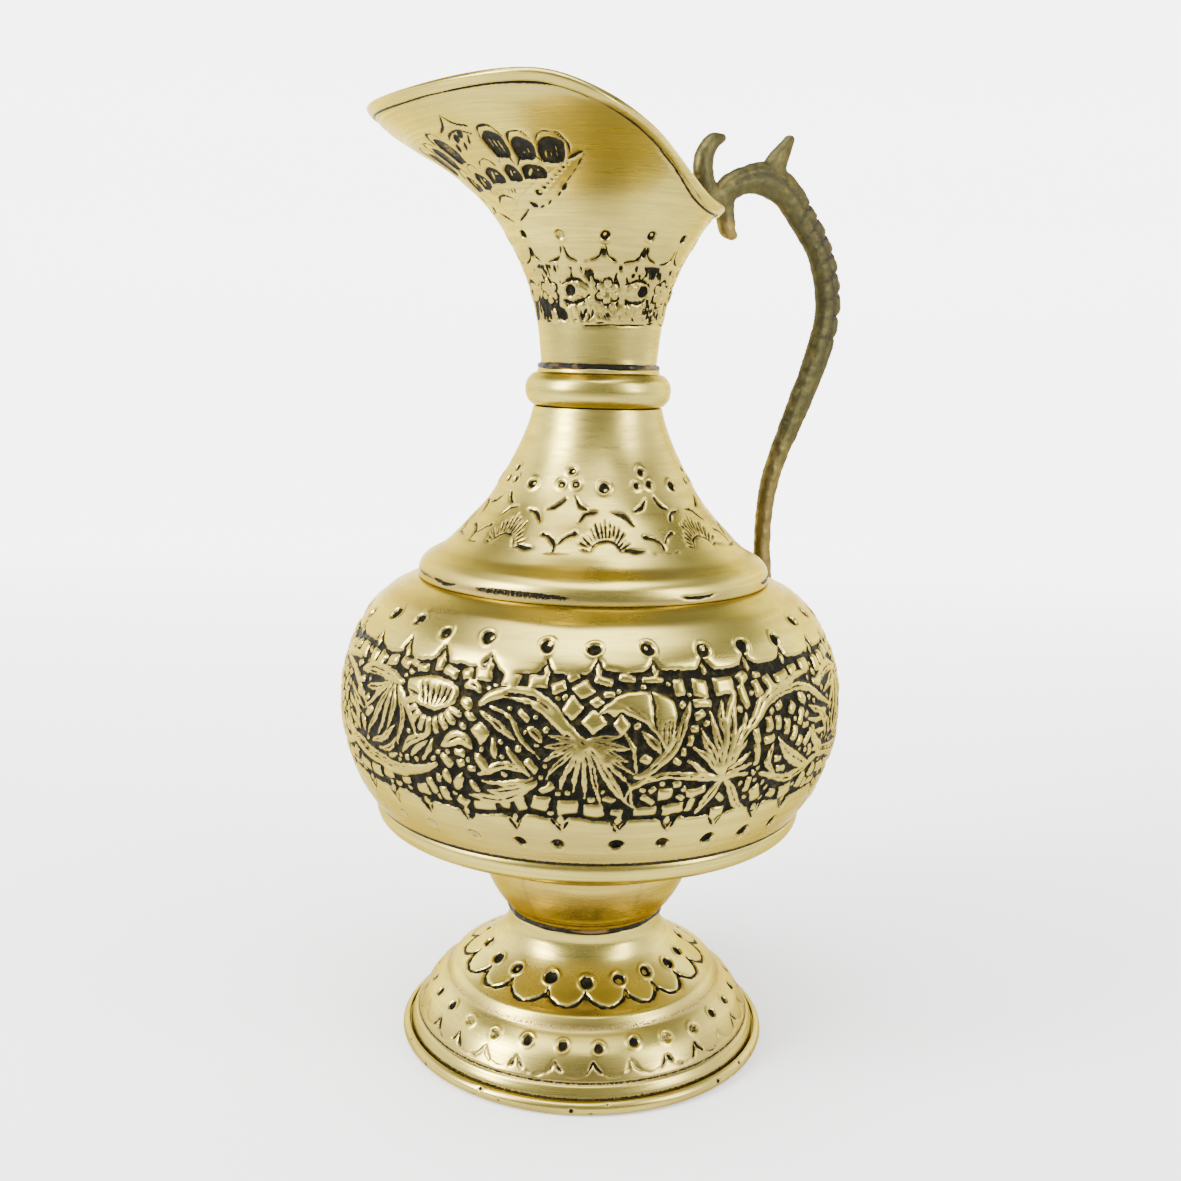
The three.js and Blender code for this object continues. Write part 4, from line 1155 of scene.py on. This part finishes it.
def joined_bars():
    """The handle's arm, horns and spike, melted together by a remesh and smoothed."""
    verts, quads, tris, start = [], [], [], 0
    for stations in (ARM, HORN_UP, HORN_DOWN, SPIKE):
        grid = bar(stations)
        index, right, faces = grid_faces(*grid.shape[:2], start)
        end = start + index.size
        quads.append(faces[:-1].reshape(-1, 4))
        tris.append(end_fans(index, right, end, end + 1))
        verts.append(np.concatenate([grid.reshape(-1, 3), grid[:1].mean(1), grid[-1:].mean(1)]))
        start = end + 2
    obj = make_object("handle_cast", np.concatenate(verts), np.concatenate(quads), None,
                      np.concatenate(tris))
    remesh = obj.modifiers.new("join", "REMESH")
    remesh.mode = "VOXEL"
    remesh.voxel_size = 0.62 * MM
    smooth = obj.modifiers.new("soften", "SMOOTH")
    smooth.factor = 0.5
    smooth.iterations = 8
    graph = bpy.context.evaluated_depsgraph_get()
    mesh = bpy.data.meshes.new_from_object(obj.evaluated_get(graph))
    obj.modifiers.clear()
    obj.data = mesh
    return obj


def read_vectors(collection, name):
    """Vectors of a mesh, as rows of an array."""
    values = np.zeros(len(collection) * 3, np.float32)
    collection.foreach_get(name, values)
    return values.reshape(-1, 3).astype(float)


def cast_relief(co):
    """How far each point of the handle is pushed out, in mm, and how dark its patina is."""
    line = smooth_curve(ARM, 24)
    gap = np.hypot(co[:, 0][:, None] - line[None, :, 0], co[:, 2][:, None] - line[None, :, 1])
    near = gap.argmin(1)
    along = lengths(line[:, :2])[near]
    d = directions(line[:, :2])[near]
    out = (co[:, 2] - line[near, 1]) * d[:, 0] - (co[:, 0] - line[near, 0]) * d[:, 1]
    back = np.clip(out / (line[near, 2] / 2), -1.3, 1.3)
    push = np.zeros(len(co))
    dark = np.zeros(len(co))
    for at, depth in NOTCHES:
        notch = np.exp(-(((along - at + 1.2 * back) / 0.75) ** 2))
        push -= depth * notch * np.clip(back * 0.9 + 0.35, 0, 1)
        dark += 0.5 * notch * np.clip(back + 1.0, 0, 1)
    notched = (along > 42) & (along < 93)
    swell = np.sin((along - 44.5) / 6.3 * 2 * math.pi - 1.57)
    push += 0.12 * swell * notched * np.clip(back, 0, 1)
    groove = np.exp(-(((back - 0.15) / 0.16) ** 2))
    groove = groove * (np.abs(co[:, 1]) > 1.6) * (along > 10) * (along < 100)
    push -= 0.35 * groove
    dark += 0.25 * groove
    rough = np.array([noise.noise(Vector(p) * 0.35) + 0.5 * noise.noise(Vector(p) * 0.9)
                      for p in co])
    fine = np.array([noise.noise(Vector(p) * 2.1) for p in co])
    push += 0.24 * rough + 0.09 * fine
    return push, dark + 0.16 * rough


def handle():
    obj = joined_bars()
    mesh = obj.data
    co = read_vectors(mesh.vertices, "co") / MM
    normal = read_vectors(mesh.vertex_normals, "vector")
    push, dark = cast_relief(co)
    clear = np.clip((co[:, 2] - 143) / 3, 0, 1)
    co = co + normal * (push * clear)[:, None]
    for axis in (0, 2):
        co[:, axis] = np.minimum(co[:, axis], cad_box[1][axis] / MM - 0.05)
    mesh.vertices.foreach_set("co", (co * MM).astype(np.float32).ravel())
    low = 0.9 * np.clip((212 - co[:, 2]) / 60, 0, 1)
    horn = np.clip((270.5 - co[:, 2]) / 4, 0, 1) * (co[:, 0] < 58)
    patina = np.clip(0.62 + dark - 0.5 * np.clip(low + horn, 0, 1), 0, 1)
    layer = mesh.attributes.new("patina", "FLOAT", "POINT")
    layer.data.foreach_set("value", patina.astype(np.float32))
    mesh.polygons.foreach_set("use_smooth", np.ones(len(mesh.polygons), bool))
    mesh.update()
    return obj


# ---------------------------------------------------------------- materials


class Shader:
    """Small helper that adds nodes and links to one material."""

    def __init__(self, name):
        self.material = bpy.data.materials.new(name)
        self.material.use_nodes = True
        self.tree = self.material.node_tree
        self.bsdf = self.tree.nodes["Principled BSDF"]

    def add(self, kind, **settings):
        node = self.tree.nodes.new(kind)
        for key, value in settings.items():
            setattr(node, key, value)
        return node

    def feed(self, socket, item):
        """Links a socket, or sets it where the item is a number or a colour."""
        if isinstance(item, (int, float)):
            socket.default_value = item
        elif isinstance(item, tuple):
            socket.default_value = (*item, 1)
        else:
            self.tree.links.new(item, socket)

    def give(self, **items):
        """Feeds the inputs of the surface; an underscore stands for a space."""
        for name, item in items.items():
            self.feed(self.bsdf.inputs[name.replace("_", " ")], item)

    def maths(self, operation, a, b=0.5, clamp=False):
        node = self.add("ShaderNodeMath", operation=operation, use_clamp=clamp)
        self.feed(node.inputs[0], a)
        self.feed(node.inputs[1], b)
        return node.outputs[0]

    def plus(self, a, b, clamp=False):
        return self.maths("ADD", a, b, clamp)

    def times(self, a, b):
        return self.maths("MULTIPLY", a, b)

    def spread(self, source, low, high, to_low=0.0, to_high=1.0):
        node = self.add("ShaderNodeMapRange")
        for socket, item in zip(node.inputs, (source, low, high, to_low, to_high)):
            self.feed(socket, item)
        return node.outputs[0]

    def blend(self, factor, a, b):
        node = self.add("ShaderNodeMix", data_type="RGBA")
        self.feed(node.inputs[0], factor)
        self.feed(node.inputs[6], a)
        self.feed(node.inputs[7], b)
        return node.outputs[2]

    def grain(self, coordinates, scale, detail=4.0, rough=0.6):
        node = self.add("ShaderNodeTexNoise")
        for name, item in (("Vector", coordinates), ("Scale", scale), ("Detail", detail),
                           ("Roughness", rough)):
            self.feed(node.inputs[name], item)
        return node.outputs[0]

    def patina(self):
        return self.add("ShaderNodeAttribute", attribute_name="patina").outputs["Fac"]

    def place(self):
        return self.add("ShaderNodeTexCoord").outputs["Object"]

    def axes(self, place):
        split = self.add("ShaderNodeSeparateXYZ")
        self.feed(split.inputs[0], place)
        return split.outputs

    def bump(self, height, strength, distance):
        node = self.add("ShaderNodeBump")
        for name, item in (("Strength", strength), ("Distance", distance), ("Height", height)):
            self.feed(node.inputs[name], item)
        self.give(Normal=node.outputs[0])

    def turned(self, place, around, up):
        """Coordinates whose noise runs in streaks round the axis."""
        x, y, z = self.axes(place)
        radius = self.maths("SQRT", self.plus(self.times(x, x), self.times(y, y)))
        safe = self.maths("MAXIMUM", radius, 0.001)
        join = self.add("ShaderNodeCombineXYZ")
        self.feed(join.inputs[0], self.times(self.maths("DIVIDE", x, safe), around))
        self.feed(join.inputs[1], self.times(self.maths("DIVIDE", y, safe), around))
        self.feed(join.inputs[2], self.plus(self.times(z, up), self.times(radius, up * 0.6)))
        return join.outputs[0]


HAZE_AND_SHADE_BROWN = (0.18, 0.12, 0.045)
PATINA_BLACK = (0.0025, 0.003, 0.0026)


def brass_sheet(name, bright, deep):
    """Brushed sheet brass with black patina in its recesses and a hazy brown beside them; the same
    brown lays painted shade where the patina field carries it.
    """
    m = Shader(name)
    place, patina = m.place(), m.patina()
    streak = m.grain(m.turned(place, 0.9, 520), 1.6, 5, 0.7)
    broad = m.grain(m.turned(place, 0.7, 90), 1.3, 3, 0.55)
    cloud = m.grain(place, 26, 3, 0.5)
    speck = m.grain(place, 1500, 2, 0.6)
    tone = m.plus(m.times(cloud, 0.7), m.times(broad, 0.5), True)
    base = m.blend(m.spread(tone, 0.42, 0.78), bright, deep)
    base = m.blend(m.spread(streak, 0.4, 0.72, 0.0, 0.6), base, tuple(c * 0.66 for c in deep))
    # brown for tarnish beside the patina, and for the painted shade in the patina field
    base = m.blend(m.spread(patina, 0.05, 0.5, 0.0, 0.6), base, HAZE_AND_SHADE_BROWN)
    edge = m.plus(patina, m.times(m.maths("SUBTRACT", speck, 0.5), 0.5))
    worn = m.spread(m.grain(place, 420, 3, 0.7), 0.25, 0.5, 0.9, 1.0)
    black = m.times(m.spread(edge, 0.44, 0.58), worn)
    base = m.blend(black, base, PATINA_BLACK)
    rough = m.plus(m.spread(streak, 0.3, 0.75, 0.22, 0.36), m.spread(cloud, 0.3, 0.7, -0.03, 0.05))
    m.give(Base_Color=base, Metallic=m.spread(black, 0.0, 1.0, 1.0, 0.1),
           Roughness=m.plus(rough, m.times(black, 0.3), True), Specular_IOR_Level=0.08,
           Specular_Tint=(0.72, 0.61, 0.34), Anisotropic=0.45,
           Tangent=m.add("ShaderNodeTangent", direction_type="RADIAL", axis="Z").outputs[0])
    m.bump(m.plus(streak, m.times(m.times(speck, black), 2.5)), 0.16, 0.0002)
    return m.material


def cast_brass(name):
    """Grey-brown cast brass, rubbed golden where the patina is thin."""
    m = Shader(name)
    place = m.place()
    cloud = m.grain(place, 60, 4, 0.6)
    grit = m.grain(place, 700, 4, 0.7)
    level = m.plus(m.patina(), m.times(m.maths("SUBTRACT", cloud, 0.5), 0.7), True)
    base = m.blend(m.spread(level, 0.15, 0.6), (0.17, 0.122, 0.038), (0.052, 0.046, 0.018))
    base = m.blend(m.spread(level, 0.6, 1.0), base, (0.022, 0.02, 0.012))
    base = m.blend(m.spread(grit, 0.5, 0.75, 0.0, 0.4), base, (0.09, 0.076, 0.03))
    m.give(Base_Color=base, Metallic=m.spread(level, 0.3, 0.9, 0.95, 0.6),
           Roughness=m.spread(grit, 0.3, 0.7, 0.36, 0.56), Specular_IOR_Level=0.3,
           Specular_Tint=(0.5, 0.44, 0.28))
    m.bump(grit, 0.5, 0.0003)
    return m.material


def solder_metal(name):
    """Old solder: black to dark brown, with dull bright spots."""
    m = Shader(name)
    grit = m.grain(m.place(), 500, 4, 0.7)
    level = m.plus(m.patina(), m.times(m.maths("SUBTRACT", grit, 0.5), 0.9), True)
    base = m.blend(m.spread(level, 0.3, 0.7), (0.12, 0.07, 0.025), (0.006, 0.006, 0.005))
    m.give(Base_Color=base, Metallic=0.5, Roughness=m.spread(grit, 0.3, 0.7, 0.38, 0.7),
           Specular_IOR_Level=0.15)
    m.bump(grit, 0.6, 0.0003)
    return m.material


def glowing_studio_backdrop(name, shade):
    """White round and behind the object, where it also glows as painted light, and painted dark
    behind the camera as the shade of an unlit room.
    """
    m = Shader(name)
    place = m.place()
    x, y, _ = m.axes(place)
    ahead = m.plus(m.times(x, math.cos(FRONT)), m.times(y, math.sin(FRONT)))
    white = m.times(m.grain(place, 4, 2, 0.5), 0.02)
    # painted shade: the white darkens towards the camera side
    white = m.plus(white, m.spread(ahead, 0.3, 0.9, shade, 0.24))
    tint = m.add("ShaderNodeCombineColor")
    for socket in tint.inputs:
        m.feed(socket, white)
    # painted light: the cove glows, faintly in front, more round the object and strongly far behind
    # it
    near = m.spread(ahead, 0.05, 0.3, 0.5, 0.04)
    far = m.spread(ahead, -1.0, 0.0, 3.0, 0.0)
    m.give(Base_Color=tint.outputs[0], Roughness=0.9, Specular_IOR_Level=0.1,
           Emission_Color=(1, 1, 1), Emission_Strength=m.plus(near, far))
    return m.material


# ---------------------------------------------------------------- assembly

pale = brass_sheet("brushed_brass", (0.485, 0.405, 0.092), (0.335, 0.265, 0.065))
golden = brass_sheet("golden_brass", (0.46, 0.345, 0.075), (0.34, 0.245, 0.046))
cast = cast_brass("cast_brass_worn")
solder_mat = solder_metal("old_solder")

for piece, node, slot, material in (
    (belly(), "body_shell", "brass_sheet", pale),
    (cone(), "neck_cone", "brass_sheet", pale),
    (bead(), "neck_bead", "brass_sheet", pale),
    (mouth(), "mouth_spout", "brass_sheet", pale),
    (rim_band(), "mouth_rim_band", "brass_sheet", pale),
    (foot(), "foot_shell", "brass_sheet", pale),
    (base(), "base_plate", "brass_sheet", pale),
    (stem(), "stem_collar", "brass_sheet", golden),
    (bowl(), "lower_bowl", "brass_sheet", pale),
    (solder("solder_low", 25.6, 42.4, 44.5, 131), "stem_solder", "solder", solder_mat),
    (solder("solder_high", 18.9, 220.1, 221.9, 141), "neck_solder", "solder", solder_mat),
    (handle(), "handle", "brass_cast", cast),
):
    piece.data.materials.append(material)
    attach(piece, "root")
    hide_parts(node)

# ---------------------------------------------------------------- stage, lights and camera


def cove():
    """A round white cove: a floor that turns up into a wall."""
    columns = 96
    level = -0.05
    outline = joined([(10, level), (700, level), (1300, level)],
                     [(1300, level), (1560, 60), (1740, 240), (1800, 500)],
                     [(1800, 500), (1800, 1400)])
    rows = spaced(outline, 60)
    grid = lift(*surface(rows, columns), azimuths(columns))
    index, right, quads = grid_faces(len(rows), columns)
    verts = np.concatenate([grid.reshape(-1, 3), [(0, 0, level)]])
    tris = np.stack([right[0], index[0], np.full(columns, index.size)], 1)
    return make_object("studio_cove", verts, quads[:-1], None, tris)


floor = cove()
floor.data.materials.append(glowing_studio_backdrop("glowing_studio_backdrop", 0.68))


def softbox(name, turn, distance, height, size, power, aim=0.15):
    """An area light at a turn from the front, aimed at a height on the object's axis."""
    data = bpy.data.lights.new(name, "AREA")
    data.shape = "RECTANGLE"
    data.size, data.size_y = size
    data.energy = power
    light = bpy.data.objects.new(name, data)
    bpy.context.scene.collection.objects.link(light)
    a = math.radians(turn) + FRONT
    light.location = (distance * math.cos(a), distance * math.sin(a), height)
    look = Vector((0, 0, aim)) - light.location
    light.rotation_euler = look.to_track_quat("-Z", "Y").to_euler()
    light.visible_camera = False


softbox("softbox_left", -60, 0.95, 0.60, (0.30, 0.7), 34, aim=0.2)
softbox("softbox_right", 58, 1.0, 0.55, (0.24, 0.7), 15, aim=0.2)
softbox("softbox_top", -20, 0.25, 1.2, (1.1, 0.9), 34)

world = bpy.data.worlds.new("studio")
bpy.context.scene.world = world
world.use_nodes = True
background = world.node_tree.nodes["Background"]
background.inputs["Color"].default_value = (1, 1, 1, 1)
background.inputs["Strength"].default_value = 0.3

CAMERA_DISTANCE, CAMERA_HEIGHT = 0.430, 0.226  # from the object's axis, and above its foot
CAMERA_TILT, CAMERA_ROLL = 79.92, 1.5  # degrees
IMAGE_SIDE = 1181

lens = bpy.data.cameras.new("camera")
lens.lens = 41.15
lens.sensor_width = 36
lens.shift_x = -2.4 / IMAGE_SIDE
lens.clip_start = 0.01
camera = bpy.data.objects.new("camera", lens)
bpy.context.scene.collection.objects.link(camera)
camera_x, camera_y = CAMERA_DISTANCE * math.cos(FRONT), CAMERA_DISTANCE * math.sin(FRONT)
camera.matrix_world = (
    Matrix.Translation((camera_x, camera_y, CAMERA_HEIGHT))
    @ Matrix.Rotation(FRONT + math.pi / 2, 4, "Z")
    @ Matrix.Rotation(math.radians(CAMERA_TILT), 4, "X")
    @ Matrix.Rotation(math.radians(CAMERA_ROLL), 4, "Z")
)
bpy.context.scene.camera = camera
